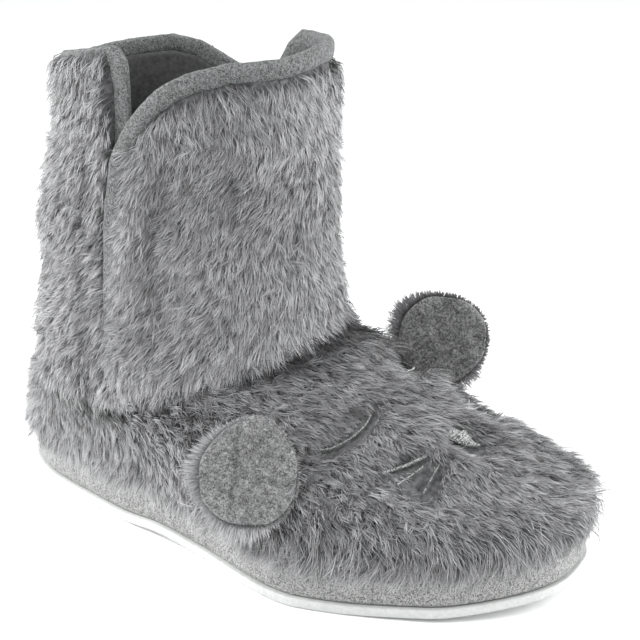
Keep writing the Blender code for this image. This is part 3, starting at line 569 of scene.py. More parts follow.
# %% Folds, face layout and pressed places
FOLDS = np.array((
    # turn, row, reach round, reach up, depth in mm (minus is a swelling)
    (251, 12.0, 4.0, 1.7, 2.2), (248, 10.2, 5.0, 0.6, 1.2), (222, 12.6, 9.0, 0.5, 1.5),
    (200, 11.3, 10.0, 0.6, 1.4), (262, 11.6, 4.0, 1.5, -1.2), (236, 10.6, 14.0, 0.9, -1.0),
    (212, 13.6, 16.0, 0.5, -1.0), (300, 12.3, 16.0, 0.25, 2.4), (318, 10.6, 20.0, 0.30, 2.6),
    (335, 13.8, 22.0, 0.35, 2.0), (330, 8.6, 26.0, 0.45, 2.6), (345, 6.2, 26.0, 0.5, 2.2),
    (322, 11.5, 18.0, 0.4, -1.6), (325, 9.6, 20.0, 0.4, -1.8), (350, 7.4, 20.0, 0.5, -1.6),
    (222, 8.20, 46.0, 0.42, 3.2), (232, 9.25, 40.0, 0.40, -1.6), (138, 8.20, 40.0, 0.42, 3.0),
    (135, 9.25, 36.0, 0.40, -1.4), (282, 9.6, 5.0, 2.2, 2.4), (284, 13.0, 4.0, 2.0, 1.6),
    (20, 12.6, 20.0, 0.4, 1.8), (48, 10.4, 16.0, 0.4, 2.0), (100, 12.2, 8.0, 1.2, 1.6),
    (135, 11.0, 14.0, 0.6, 1.6), (150, 13.2, 12.0, 0.6, 1.2), (165, 9.8, 16.0, 0.6, -1.2)))
FACE_AXIS = -0.0090
PILE_MIDDLE = 0.006
EYE = np.array(((38.3, -44.8), (44.6, -40.7), (50.2, -34.9), (52.6, -28.6), (52.5, -24.3)))
WHISKERS = (((66.2, -39.7), (76.7, -25.8)), ((72.6, -40.1), (77.3, -29.5)),
            ((81.6, -37.0), (82.3, -26.1)))
NOSE = ((79.3, -12.2), (80.1, -6.1), (82.8, -3.8), (89.7, -7.6), (89.8, -9.8), (85.5, -11.9))
PRESSED = np.array((
    # x, y, long half axis, short half axis, heading in degrees, depth: all lengths in mm
    (46.0, -32.8, 14.0, 5.5, 66.0, 4.0), (69.4, -31.4, 10.5, 4.0, 51.0, 3.2),
    (78.2, -33.0, 9.5, 7.5, 80.0, 2.6), (83.6, -8.6, 8.5, 6.0, -28.0, 3.0)))


def both_sides(plan):
    """The plan points and their mirror image across the face's middle line."""
    plan = np.asarray(plan) / 1000
    return plan, np.stack([plan[..., 0], 2 * FACE_AXIS - plan[..., 1]], -1)


def pressed(points):
    """How far the pile is pressed down at points of the vamp, 0 to 1, and how deep."""
    total, depth = 0.0, 0.0
    for x, y, long, short, heading, deep in PRESSED:
        for side in (1, -1):
            away_x = points[..., 0] * 1000 - x
            away_y = (points[..., 1] * 1000 - FACE_AXIS * 1000) * side - (y - FACE_AXIS * 1000)
            c, s = np.cos(np.radians(heading)), np.sin(np.radians(heading))
            along, across = away_x * c + away_y * s, away_y * c - away_x * s
            bell = np.exp(-((along / long) ** 2 + (across / short) ** 2) ** 1.5)
            total, depth = np.maximum(total, bell), np.maximum(depth, bell * deep / 1000)
    upper_side = (points[..., 2] > 0.040) & (points[..., 0] > 0.02)
    return total * upper_side, depth * upper_side


def swell(turn, row):
    """Height that the folds add to the pile at a turn and row, in metres."""
    turn = np.degrees(turn)[..., None]
    away = (turn - FOLDS[:, 0] + 180) % 360 - 180
    bells = np.exp(-(away / FOLDS[:, 2]) ** 2 - ((row[..., None] - FOLDS[:, 1]) / FOLDS[:, 3]) ** 2)
    return -(bells * FOLDS[:, 4]).sum(-1) / 1000


def on_vamp(plan):
    """Turn and row of the vamp above plan points: the nearest spot of a fine grid."""
    turn, row = np.meshgrid(np.radians(np.arange(100, 262, 0.5)), np.arange(0.6, 8.0, 0.03),
                            indexing="ij")
    grid = skin(turn, row, PILE_MIDDLE)[..., :2].reshape(-1, 2)
    near = ((plan[:, None] - grid[None]) ** 2).sum(-1).argmin(1)
    return turn.ravel()[near], row.ravel()[near]


print("deepest fold:", FOLDS[:, 4].max(), "mm; pressed places:", 2 * len(PRESSED))

# %% [markdown]
# ## The pelts: fabric with its short dense underfur
#
# Under the long hairs lies a knitted backing with dense short fibre. Each pelt is a closed
# wall: its inner face is the lining, its outer face carries the folds and stands about half
# way up the pile, so that no gap between hairs shows daylight. Pattern pieces are the same
# as the solids: the foot with its back shaft panel, and the front panel that laps over it.


# %% Foot pelt, back panel and front panel
UNDERFUR_TOP, RIM_THICKNESS, RIM_RUN = 0.0062, 0.0032, 0.004
FUR_END_ROW, BACK_HALF, UNDER_BINDING = 8.3, 88, 0.0006


def pelt(name, inner, outer, close, node):
    """Wall between two grids: lining inside, under-fur outside and round the rim."""
    points, faces, marks = wall(inner, outer, close)
    add_piece(name, points, faces, [LINING, UNDERFUR], (node,), marks=marks)


def pelt_top(turn, row, thick):
    """Outer face of a pelt: its thickness plus the folds, less what stitching presses down."""
    sunk = pressed(skin(turn, row, thick))[1]
    return skin(turn, row, np.maximum(thick + swell(turn, row) - sunk, BACKING * 0.9))


def foot_pelt():
    """The foot from the seat to the vamp's top edge; full fur below the lap and at the back."""
    turn, row = np.meshgrid(ROUND, np.concatenate([np.linspace(0, 8.4, 66),
                                                   np.linspace(8.5, UNDER_ROW, 8)]))
    away, below = np.abs((np.degrees(turn) + 180) % 360 - 180), row < FUR_END_ROW
    thick = np.where(below | (away < BACK_HALF), UNDERFUR_TOP, BACKING)
    inner = skin(turn, row, 0.0)
    outer = np.where(below[..., None], pelt_top(turn, row, thick), skin(turn, row, thick))
    outer[0, :, 2] = inner[0, :, 2] + 0.0002
    pelt("foot_pelt", inner, outer, True, "upper")


def panel_pelt(name, edge, low_row, low_offset, node):
    """A shaft panel from a row up to its bound edge, laid out in the flat and wrapped."""
    inset = BINDING_WIDTH - UNDER_BINDING
    start, end = edge[0, 0] + inset, edge[-1, 0] - inset
    length = np.linspace(start, end, 110)
    turn = turn_at(length)
    top = row_at_height(turn, edge_height(edge, inset, length))
    share = np.linspace(0, 1, 56)[:, None]
    row = low_row + (top - low_row) * share
    turn = np.broadcast_to(turn, row.shape)
    rim = np.minimum(np.minimum(length - start, end - length)[None] / RIM_RUN,
                     (1 - share) * 18).clip(0, 1)
    thick = low_offset + RIM_THICKNESS + (
        UNDERFUR_TOP - RIM_THICKNESS - low_offset * 0.6) * np.sqrt(rim)
    pelt(name, skin(turn, row, low_offset), pelt_top(turn, row, thick), False, node)


foot_pelt()
panel_pelt("back_shaft_pelt", BACK_EDGE, UNDER_ROW - 0.05, 0.0, "upper")
panel_pelt("front_shaft_pelt", FRONT_EDGE, HEM_ROW, OVER, "front_panel")

# %% [markdown]
# ## Bound edges
#
# A suede strip folded over the raw edge makes a soft, slightly flattened roll. A round
# bevelled curve would be too fat, so its section is a superellipse, wide along the panel
# and thin across it, carried along the edge of the flat layout. The sewing draws it in a
# little every few millimetres, which the wandering value adds to its thickness.


# %% Bindings
def with_legs(edge, foot, count):
    """The edge with a straight leg at each end, from its own end height down to the foot."""
    left = np.column_stack([np.full(count, edge[0, 0]),
                            np.linspace(foot, edge[0, 1], count + 1)[:-1]])
    right = np.column_stack([np.full(count, edge[-1, 0]),
                             np.linspace(edge[-1, 1], foot, count + 1)[1:]])
    return np.concatenate([left, edge, right])


def binding(name, path, low, thick, node):
    """Section with powers of cosine and sine, swept along the path, its ends drawn shut."""
    way = inward(path)
    angle = np.linspace(0, 2 * np.pi, 24, endpoint=False)
    c, s = np.cos(angle), np.sin(angle)
    across = BINDING_WIDTH / 2 * (1 - np.sign(c) * np.abs(c) ** 0.75)
    rise = np.sign(s) * np.abs(s) ** 0.7
    flat = path[:, None] + way[:, None] * across[:, None]
    low, thick = np.broadcast_to(low, len(path)), np.broadcast_to(thick, len(path))
    rings = flat_to_skin(flat, low[:, None] + thick[:, None] / 2 * (1 + rise))
    rings += unit(rings - rings.mean(1, keepdims=True)) * (
        waves(rings, 0.0022, 5) * PUCKER)[..., None]
    rings = np.concatenate(
        shrunk(rings[:1], rings[:1].mean(1, keepdims=True), (0.0, 0.6)) + [rings]
        + shrunk(rings[-1:], rings[-1:].mean(1, keepdims=True), (0.6, 0.0)))
    faces = grid_cells(len(rings), len(angle), True)
    add_piece(name, rings, faces, [SUEDE_BINDING], (node,))


PUCKER, FRONT_LEG, BACK_LEG = 0.00018, 69, 89
front_foot = float(lining_face(SLIT_TURN, HEM_ROW + 0.1)[2])
back_foot = float(lining_face(BACK_EDGE_TURN, UNDER_ROW + 0.02)[2])
binding("front_edge_binding", with_legs(FRONT_EDGE, front_foot, FRONT_LEG), OVER,
        BINDING_THICKNESS, "front_binding")
back_path = with_legs(BACK_EDGE, back_foot, BACK_LEG)
free = SHAFT_HEIGHT - NOTCH_DEPTH * 0.16
leg_share = np.clip((back_path[:, 1] - free) / (BINDING_WIDTH * 0.8), 0, 1)
leg_share[BACK_LEG + 3:-BACK_LEG - 3] = 1.0
binding("back_edge_binding", back_path, 0.0,
        BACKING + (BACK_BINDING_THICKNESS - BACKING) * leg_share, "back_binding")

# %% [markdown]
# ## Hairs as tapered ribbons
#
# The pile is the boot's main surface, so it is built as real hair. Hair strands from a
# particle system can't leave the program, and cards with a picture look flat close up.
# Each hair here is a ribbon of three triangles: it stands up out of the backing, then bends
# over and runs with the nap. Its tone runs from painted shade at the root to pale at the tip.
# Its shading normal is leant towards the fabric's, as thousands of round fibres would shade.


# %% Ribbon hairs
ALONG = np.array([0.0, 0.5, 1.0])
# share of the way from root tone to tip tone at each ribbon point; the dark root is painted shade
ROOT_SHADE_TO_TIP = np.array([0, 0, 0.55, 0.55, 1.0])


def ribbons(root, normal, nap, reach, stand, width, gather, twist):
    """Centre line: root + normal·stand·(1−(1−s)²) + nap·reach·s^1.4 + gather·s^1.5."""
    s = ALONG[None, :, None]
    line = (root[:, None] + normal[:, None] * stand[:, None, None] * (1 - (1 - s) ** 2)
            + nap[:, None] * reach[:, None, None] * s ** 1.4 + gather[:, None] * s ** 1.5)
    ahead = unit(np.gradient(line, axis=1))
    side = unit(np.cross(ahead, normal[:, None] + 1e-6))
    face = np.cross(side, ahead)
    turned = side * np.cos(twist)[:, None, None] + face * np.sin(twist)[:, None, None]
    facing = np.cross(turned, ahead)
    half = width[:, None, None] / 2 * np.array([0.8, 1.0, 0.0])[None, :, None]
    left, right = line - turned * half, line + turned * half
    points = np.concatenate([np.stack([left[:, :2], right[:, :2]], 2).reshape(-1, 4, 3),
                             line[:, 2:]], 1)
    lean = unit(facing * 0.60 + normal[:, None] * 0.40 + ahead * 0.15)
    shading = np.concatenate([np.repeat(lean[:, :2], 2, axis=1), lean[:, 2:]], 1)
    return points, shading


def hair_piece(name, ribbon, start, end, node):
    """One mesh of ribbons: a quad and a tip triangle each, with a bake map.

    The tone runs from the start value at the root to the end value at the tip.
    """
    points, shading = ribbon
    count = len(points)
    number = np.arange(count)
    base = number[:, None] * 5
    corners = np.concatenate([base + [0, 1, 3, 2], base + [2, 3, 4]], 1).ravel()
    mesh = mesh_of(name, points.reshape(-1, 3), corners, (number[:, None] * 7 + [0, 4]).ravel())
    mesh.shade_smooth()
    start = np.broadcast_to(start, count)
    tone = np.clip(start[:, None] + (end - start)[:, None] * ROOT_SHADE_TO_TIP, 0, 1)
    mesh.attributes.new("tone", "FLOAT", "POINT").data.foreach_set("value", tone.ravel())
    side = int(np.ceil(np.sqrt(count)))
    cell = np.stack([number % side, number // side], -1)
    spot = np.array([[.1, .1], [.9, .1], [.1, .55], [.9, .55], [.5, .95]])
    flat = ((cell[:, None] + spot) / side).reshape(-1, 2)
    chart = mesh.uv_layers.new(name="OFBake")
    chart.data.foreach_set("uv", flat[corners].astype(np.float32).ravel())
    mesh.normals_split_custom_set_from_vertices(shading.reshape(-1, 3))
    mesh.materials.append(PILE)
    hand_over(in_scene(name, mesh), (node,))
    print(name, count, "hairs,", count * 3, "triangles")


def hair_material(name, stops, roughness, sheen):
    """Colour ramp over the tone attribute: painted shade dark at the root, pale at the tip."""
    material, shader = new_material(name, {
        "Roughness": roughness, "Sheen Weight": sheen, "Sheen Roughness": 0.45,
        "Specular IOR Level": 0.35})
    nodes, links = material.node_tree.nodes, material.node_tree.links
    tone, ramp = nodes.new("ShaderNodeAttribute"), nodes.new("ShaderNodeValToRGB")
    tone.attribute_name = "tone"
    for k, (place, colour) in enumerate(stops):
        stop = ramp.color_ramp.elements[k] if k < 2 else ramp.color_ramp.elements.new(place)
        stop.position, stop.color = place, (*colour, 1)
    links.new(tone.outputs["Fac"], ramp.inputs["Fac"])
    links.new(ramp.outputs["Color"], shader.inputs["Base Color"])
    return material


# near black at the root end of the ramp: painted shade deep in the pile
PILE = hair_material("grey_pile", ((0.0, (0.022, 0.022, 0.024)), (1.0, (0.57, 0.57, 0.575)),
                                   (0.45, (0.155, 0.155, 0.158)), (0.75, (0.33, 0.33, 0.335))),
                     0.72, 0.30)

# %% [markdown]
# ## Planting the pile
#
# A pelt grows its hairs in small tufts. Spots for the tufts are spread by area: the surface
# is cut into small cells, their areas are added up, and even steps through that sum pick
# the cells. Hairs of a tuft start 1 to 2 mm apart and lean together at the tip.
# The nap runs down the boot, turned a little by the wandering value, so that it swirls. At
# the hem and over the sole the locks are longer and hang free, and beside the stitching
# they are clipped short.


# %% Tufts over a patch of the boot
def tufts(count, turns, rows, grown, seed):
    """Turn and row of tufts at even steps through the summed area of the grown cells."""
    pick = np.random.default_rng(seed)
    turn, row = np.meshgrid((turns[1:] + turns[:-1]) / 2, (rows[1:] + rows[:-1]) / 2,
                            indexing="ij")
    along, up = tangents(turn, row)
    area = np.linalg.norm(np.cross(along, up), axis=-1) * grown(turn, row)
    total = np.cumsum((area * np.diff(turns)[:, None] * np.diff(rows)[None]).ravel())
    cell = np.searchsorted(total, (np.arange(count) + pick.random(count)) / count * total[-1])
    cell = np.minimum(cell, total.size - 1)
    i, j = np.unravel_index(cell, turn.shape)
    return (turns[i] + (turns[i + 1] - turns[i]) * pick.random(count),
            rows[j] + (rows[j + 1] - rows[j]) * pick.random(count), total[-1])


def nap_way(turn, row, points, along, up):
    """Down the rows; turned towards the back on the shaft, and by the wandering value."""
    down, round_way = unit(-up), unit(along)
    turned = (-0.55 * np.sin(turn) * np.clip((row - 8.5) / 1.5, 0, 1) * (row < 13.6)
              + 0.50 * waves(points, 0.016, 3) + 0.28 * waves(points, 0.0055, 4))
    return unit(down * np.cos(turned)[..., None] + round_way * np.sin(turned)[..., None])


def stitch_marks():
    """Plan points spread along every stitched line and over the nose patch, both sides."""
    marks = []
    for line in (EYE, *map(np.array, WHISKERS)):
        at = np.linspace(0, len(line) - 1, 24)
        marks.append(np.stack([np.interp(at, np.arange(len(line)), line[:, k]) for k in (0, 1)],
                              -1))
    nose = np.array(NOSE)
    marks += shrunk(nose, nose.mean(0), (0.2, 0.6, 1.0))
    return np.concatenate([np.concatenate(both_sides(line)) for line in marks])


MARKS = stitch_marks()


def clipped(points):
    """0 on a stitched line, rising to 1 at 3.8 mm from it; 1 away from the face."""
    share = np.ones(len(points))
    face = np.where((points[:, 0] > 0.030) & (points[:, 2] > 0.036))[0]
    for part in np.array_split(face, max(1, len(face) // 4000)):
        away = np.linalg.norm(points[part, None, :2] - MARKS[None], axis=-1).min(1)
        share[part] = np.clip((away - 0.0008) / 0.0030, 0, 1)
    return share


def nowhere(turn, row):
    """0 all over a patch."""
    return 0 * turn


def evenly(turn, row):
    """1 all over a patch."""
    return 1 + 0 * turn


HAIR_LENGTH, HAIR_WIDTH, BELOW_FUR = 0.0062, 0.00028, 0.0007
HAIR_SEAT = {"upper": 0.0044, "front_panel": 0.0056}
QUICK = 1.0


def plant(name, hairs, degrees, rows, grown, seed, node, tone_and_painted_light, longer=evenly, tousle=nowhere,
          stand=0.0054, per_tuft=8, spread=0.00105):
    """Hairs of one patch: tufts, then hairs round each, then their ribbons."""
    pick = np.random.default_rng(seed + 100)
    turn, row, area = tufts(int(hairs * QUICK) // per_tuft, np.radians(np.arange(*degrees, 1.0)),
                            rows, grown, seed)
    along, up = tangents(turn, row)
    tuft_pick = pick.normal(size=(4, len(turn)))

    def repeat(values):
        return np.repeat(values, per_tuft, axis=0)

    wild = repeat(tousle(turn, row))
    shift = pick.normal(size=(2, len(turn) * per_tuft)) * spread * (1 + 0.5 * wild)
    along_unit, up_unit = repeat(unit(along)), repeat(unit(up))
    turn = repeat(turn) + shift[0] / repeat(np.linalg.norm(along, axis=-1))
    row = np.clip(repeat(row) + shift[1] / repeat(np.linalg.norm(up, axis=-1)), 0.02, TOP_ROW)
    ground, normal, along, up = ground_at(turn, row)
    down_by, sunk = pressed(ground + normal * PILE_MIDDLE)
    fold, free = swell(turn, row), clipped(ground + normal * PILE_MIDDLE)
    base, flattened = HAIR_SEAT[node], np.maximum(down_by, 1 - free)
    seated = base + (UNDERFUR_TOP - BELOW_FUR - base) * flattened
    root = ground + normal * np.maximum(seated + fold - sunk, BACKING * 0.8)[:, None]
    nap = nap_way(turn, row, ground, along, up)
    across = np.cross(nap, normal)
    tuft_turn = repeat(tuft_pick[0]) * (0.32 + 0.5 * wild) + pick.normal(size=len(turn)) * 0.13
    nap = unit(nap * np.cos(tuft_turn)[:, None] + across * np.sin(tuft_turn)[:, None])
    size = (1 + 0.15 * repeat(tuft_pick[1]) + 0.12 * pick.normal(size=len(turn))).clip(0.45, 1.5)
    size = size * (1 - 0.50 * down_by) * (0.34 + 0.66 * free)
    steep = (1 + (0.20 + 0.26 * wild) * repeat(tuft_pick[2])).clip(0.35, 1.6) * (
        1 - 0.82 * down_by) * (0.16 + 0.84 * free)
    gather = -(along_unit * shift[0][:, None] + up_unit * shift[1][:, None]) * (
        0.82 + 0.15 * wild)[:, None]
    width = HAIR_WIDTH * (1 + 0.18 * pick.normal(size=len(turn))).clip(0.5, 1.6)
    ribbon = ribbons(root, normal, nap, HAIR_LENGTH * size * longer(turn, row),
                     stand * size * steep, width, gather, pick.normal(size=len(turn)) * 0.45)
    own = (0.16 * repeat(tuft_pick[3]) + 0.05 * pick.normal(size=len(turn))) * (1 + 0.5 * wild)
    # a slow random wander of tone, plus painted shade in the grooves of the folds and painted light
    # on their swellings
    drift_and_fold_shade = 0.07 * waves(ground, 0.012, 9) + np.clip(fold * 80, -0.34, 0.10)
    # root tone: painted shade deep in the pile, deepest in the brushed quarter and lifted where
    # hairs are pressed flat
    start = 0.06 * (1 - wild) + 0.54 * flattened
    # plus the patch's own added tone, most of it painted light and shade
    end = np.maximum(0.82 + drift_and_fold_shade + own + tone_and_painted_light(turn, row), 0.08)
    print(name, "area", round(area * 1e4), "square cm")
    hair_piece(name, ribbon, start, end, node)


def below_collar(edge, inset, beside):
    """Function that is 1 where a turn and row lie inside a panel's edges, else 0."""
    def grown(turn, row):
        length = length_at(turn)
        bare = beside * np.clip(0.70 + 0.20 * (row - 9.5), 0.70, 1.35)
        start, end = edge[0, 0] + bare, edge[-1, 0] - bare
        top = row_at_height(turn, edge_height(edge, inset, length))
        return ((length > start) & (length < end) & (row < top)).astype(float)
    return grown


def side_tousle(turn, row):
    """The quarter behind the outer ear is brushed up, and its pile carries more painted shade."""
    turn = np.degrees(turn) % 360
    return (np.exp(-((turn - 262) / 16) ** 2 - ((row - 4.6) / 2.6) ** 2)
            + 0.35 * np.exp(-((turn - 236) / 14) ** 2 - ((row - 2.4) / 2.0) ** 2))


def over_sole(turn, row):
    """Locks near the seat hang down over the wrapped side."""
    return 1 + 0.75 * np.exp(-(row / 0.9) ** 2)


def over_hem(turn, row):
    """Locks at the hem of the front panel hang down over the vamp."""
    return 1 + 0.3 * np.exp(-((row - HEM_ROW) / 0.4) ** 2)


def foot_tone_and_painted_shade(turn, row):
    """Foot's pile: pale fringe, paler toe, painted shadow under the hem, painted shade in the
    quarter.
    """
    # painted shadow under the front panel's overhanging hem
    hem = np.exp(-((row - 8.25) / 0.55) ** 2) * (np.abs(np.sin(turn / 2)) > 0.7)
    toe = np.exp(-((row - 2.0) / 2.0) ** 2) * (1 - np.cos(turn)) / 2
    # pale fringe, the painted hem shadow, paler towards the toe, painted shade behind the outer ear
    return (0.16 * np.exp(-(row / 0.8) ** 2) - 0.70 * hem - 0.06 + 0.10 * toe
            - 0.30 * np.clip(side_tousle(turn, row), 0, 1))


def heel_painted_light(turn, row):
    """Painted light on the heel's pile, as lit from the left: paler all over, the fringe paler
    still.
    """
    return 0.12 + 0.12 * np.exp(-(row / 0.8) ** 2)


def panel_painted_light(turn, row):
    """Painted light on the front panel: on its rolled hem, and a rim light down its front towards
    the shin.
    """
    return (0.12 * np.exp(-((row - HEM_ROW - 0.2) / 0.5) ** 2)
            + 0.10 * np.exp(-((np.degrees(turn) % 360 - 195) / 22) ** 2))


def back_painted_light(turn, row):
    """Painted light on the back panel, as lit from the left: a little paler all over."""
    return 0.07 + 0 * turn


def at_fringe(turn, row):
    """Hairs stand closer together at the seat."""
    return 1 + 1.3 * np.exp(-(row / 0.5) ** 2)


def thinned(turn, row):
    """As at the fringe, but fewer hairs in the brushed quarter."""
    return at_fringe(turn, row) - 0.40 * np.clip(side_tousle(turn, row), 0, 1)


VAMP_ROWS, HEEL_ROWS = np.arange(0.05, 8.76, 0.1), np.arange(0.05, 9.01, 0.1)
BACK_ROWS, PANEL_ROWS = np.arange(9.0, 16.0, 0.05), np.arange(HEM_ROW, 16.0, 0.05)
SHAFT_TUFTS = dict(stand=0.0046, per_tuft=6, spread=0.0008)
in_back = below_collar(BACK_EDGE, BINDING_WIDTH * 0.22, BINDING_WIDTH * 0.74)
in_front = below_collar(FRONT_EDGE, BINDING_WIDTH, BINDING_WIDTH)
plant("vamp_pile_outer", 50000, (180, 269), VAMP_ROWS, thinned, 1, "upper", foot_tone_and_painted_shade, over_sole,
      side_tousle)
plant("vamp_pile_inner", 40000, (92, 181), VAMP_ROWS, at_fringe, 2, "upper", foot_tone_and_painted_shade, over_sole)
plant("heel_pile", 36000, (-92, 93), HEEL_ROWS, at_fringe, 3, "upper", heel_painted_light, over_sole)
plant("back_shaft_pile", 33000, (-92, 93), BACK_ROWS, in_back, 4, "upper", back_painted_light,
      **SHAFT_TUFTS)
plant("front_shaft_pile_outer", 42000, (180, 276), PANEL_ROWS, in_front, 5, "front_panel",
      panel_painted_light, over_hem, **SHAFT_TUFTS)
plant("front_shaft_pile_inner", 33000, (85, 181), PANEL_ROWS, in_front, 6, "front_panel",
      panel_painted_light, over_hem, **SHAFT_TUFTS)

# %% [markdown]
# ## Ears
#
# Each ear is two discs sewn back to back and pinched at the base: curled fleece in front,
# long pile behind, whose hairs stand out past the rim like a ruff. A flattened sphere would
# have no pinch and no soft edge, so the disc is a polar grid whose width is drawn in towards
# the base, domed by a root curve, with small curls raised by two wandering values.


# %% Ear discs and ruffs
EAR_RADIUS, EAR_FACE_THICKNESS, EAR_BACK_THICKNESS = 0.0203, 0.0040, 0.0060
EAR_CUP, EAR_SINK, EAR_CREASE = 0.0030, 0.0035, 0.0020
# name, turn in degrees, row, off the pile in back thicknesses, way of the tip, way of the face
EARS = (("outer_ear", 245.5, 5.3, 0.75, (0.12, -0.58, -0.80), (0.44, -0.68, 0.58)),
        ("inner_ear", 136.5, 5.35, 0.0, (0.20, 0.20, 0.96), (0.50, -0.85, 0.10)))


def ear_frame(turn, row, off, tip_way, face_way):
    """Base point and the ear's own directions: towards the tip, sideways and facing out."""
    base = skin(np.radians(turn), np.array(row), np.array(PILE_TOP + off * EAR_BACK_THICKNESS))
    up = unit(np.array(tip_way))
    face = unit(np.array(face_way) - up * np.dot(face_way, up))
    return base, up, np.cross(up, face), face


def ear_plan(angle, share, radius):
    """Places across and along the ear, drawn in towards its base, and how far each is cupped."""
    across = radius * np.sin(angle) * (0.62 + 0.38 * np.sin(angle / 2)) * share
    along = EAR_RADIUS - EAR_SINK - radius * np.cos(angle) * share
    cup = EAR_CUP * (across ** 2 + (along - EAR_RADIUS + EAR_SINK) ** 2) / EAR_RADIUS ** 2
    return across, along, cup


def ear_spots(placed, across, along, depth):
    """Base + across·side + along·up + depth·face."""
    base, up, side, face = placed
    return (base + across[..., None] * side + along[..., None] * up
            + depth[..., None] * face)


def crease_line(across, along):
    """Bell curve about a slanted line down the fleece: exp(-(distance / 1.6 mm) squared)."""
    return np.exp(-((across - 0.007 + 0.1 * along) / 0.0016) ** 2)


def ear_disc(name, placed, low, high, radius, curls, crease, material, node):
    """Polar grid: domed front and back sheets that meet at the rim."""
    face = placed[3]
    angle = np.linspace(0, 2 * np.pi, 108, endpoint=False)
    share = np.sin(np.linspace(0, np.pi / 2, 22))[:, None]
    reach = radius * (1 + 0.015 * np.sin(5 * angle + 1) + 0.01 * np.sin(9 * angle))
    across, along, cup = ear_plan(angle, share, reach)
    dome = np.sqrt(np.clip(1 - share ** 5, 0, 1))
    sheets = []
    for depth, order in ((high, 1), (low, -1)):
        rise = (low + high) / 2 + (depth - (low + high) / 2) * dome + cup
        if order > 0:
            rise = rise - crease * crease_line(across, along) * dome
        spots = ear_spots(placed, across, along, rise)
        bumps = (waves(spots, 0.00055, 21) + waves(spots, 0.0012, 22)) * curls * dome
        sheets.append(spots + face * (bumps * order)[..., None])
    rings = np.concatenate([sheets[0], sheets[1][::-1][1:]])
    add_piece(name, rings, grid_cells(len(rings), len(angle), True), [material], (node,))


def ear_ruff(name, placed, count, seed, node):
    """Hairs on the back disc and its rim, leaning outwards from the middle."""
    base, up, side, face = placed
    pick = np.random.default_rng(seed)
    angle = pick.random(count) * 2 * np.pi
    share = np.where(pick.random(count) < 0.72, 1 - 0.10 * pick.random(count),
                     np.sqrt(pick.random(count)))
    across, along = ear_plan(angle, share, EAR_RADIUS)[:2]
    depth = EAR_CUP * share ** 2 + np.where(
        share > 0.88, 0.0006,
        -0.0012 - (EAR_BACK_THICKNESS - 0.0022) * np.sqrt(np.clip(1 - share ** 4, 0, 1)))
    middle = base + up * (EAR_RADIUS - EAR_SINK)
    root = ear_spots(placed, across, along, depth)
    outward = unit((root - middle) - face * np.sum((root - middle) * face, -1)[:, None] + 1e-9)
    back_way = unit(-face * (1.15 - share)[:, None] + outward * 0.25 * share[:, None])
    nap = unit(outward + up * 0.25 + pick.normal(size=(count, 3)) * 0.22)
    size = (1 + 0.25 * pick.normal(size=count)).clip(0.4, 1.6) * tufted(angle, name)
    ribbon = ribbons(root, back_way, nap, 0.0084 * size, 0.0014 * size,
                     np.full(count, 0.00030), nap * 0.0, pick.normal(size=count) * 0.5)
    # painted light on the outer ear's ruff, painted shade on the inner ear's, which stands in shadow
    start, pale = (0.62, 0.96) if "outer" in name else (0.34, 0.80)
    hair_piece(name, ribbon, start, pale + 0.10 * pick.normal(size=count), node)


def tufted(angle, name):
    """Length share round the rim, 0 degrees at the base: each ear has two longer tufts."""
    first, second = (95, 180) if "outer" in name else (255, 42)
    bells = [np.exp(-(((np.degrees(angle) - middle + 180) % 360 - 180) / 38) ** 2)
             for middle in (first, second)]
    return (0.15 if "outer" in name else 0.20) + 0.55 * np.maximum(*bells)


def ear_fuzz(name, placed, count, seed, crease, node):
    """Short curled fibres all over the fleece disc, standing every way."""
    pick = np.random.default_rng(seed)
    angle, share = pick.random(count) * 2 * np.pi, np.sqrt(pick.random(count))
    across, along, cup = ear_plan(angle, share, EAR_RADIUS)
    rise = EAR_FACE_THICKNESS / 2 * (1 + np.sqrt(np.clip(1 - share ** 5, 0, 1))) + cup - 0.0004
    root = ear_spots(placed, across, along, rise - crease * crease_line(across, along))
    stand = unit(placed[3] + pick.normal(size=(count, 3)) * 0.35)
    lean = unit(pick.normal(size=(count, 3)))
    ribbon = ribbons(root, stand, lean, 0.0011 * pick.random(count) + 0.0003,
                     0.0005 + 0.0005 * pick.random(count), np.full(count, 0.00034),
                     -lean * 0.0006, pick.normal(size=count) * 1.0)
    # painted light on the outer ear's curls, painted shade on the inner ear's
    end = (0.80 if "outer" in name else 0.20) + 0.14 * pick.normal(size=count)
    hair_piece(name, ribbon, 0.15, end, node)


for number, (ear, *place) in enumerate(EARS):
    placed, crease = ear_frame(*place), EAR_CREASE * (ear == "outer_ear")
    ear_disc(f"{ear}_fleece_disc", placed, CLEARANCE / 2, EAR_FACE_THICKNESS, EAR_RADIUS, 0.00036,
             crease, FLEECE, f"{ear}_fleece")
    ear_disc(f"{ear}_back_disc", placed, -EAR_BACK_THICKNESS * 0.8, -CLEARANCE / 2,
             EAR_RADIUS * 0.97, 0.0002, 0.0, UNDERFUR, f"{ear}_pile")
    ear_ruff(f"{ear}_ruff", placed, int(4500 * QUICK), 40 + number, f"{ear}_pile")
    ear_fuzz(f"{ear}_curls", placed, int(5500 * QUICK), 50 + number, crease, f"{ear}_fleece")

# %% [markdown]
# ## Embroidered face
#
# The closed eyes, whiskers and nose are sewn in silver thread through the pile: short slanted
# stitches side by side, and for the nose long satin stitches from edge to edge. A tube with
# a picture of thread would not catch the light so well, so each stitch is its own small
# bent capsule of 42 faces, laid on the pressed-down pelt.


# %% Stitches
STITCH_STEP, LINE_LIFT, NOSE_LIFT = 0.00062, 0.0016, 0.0014


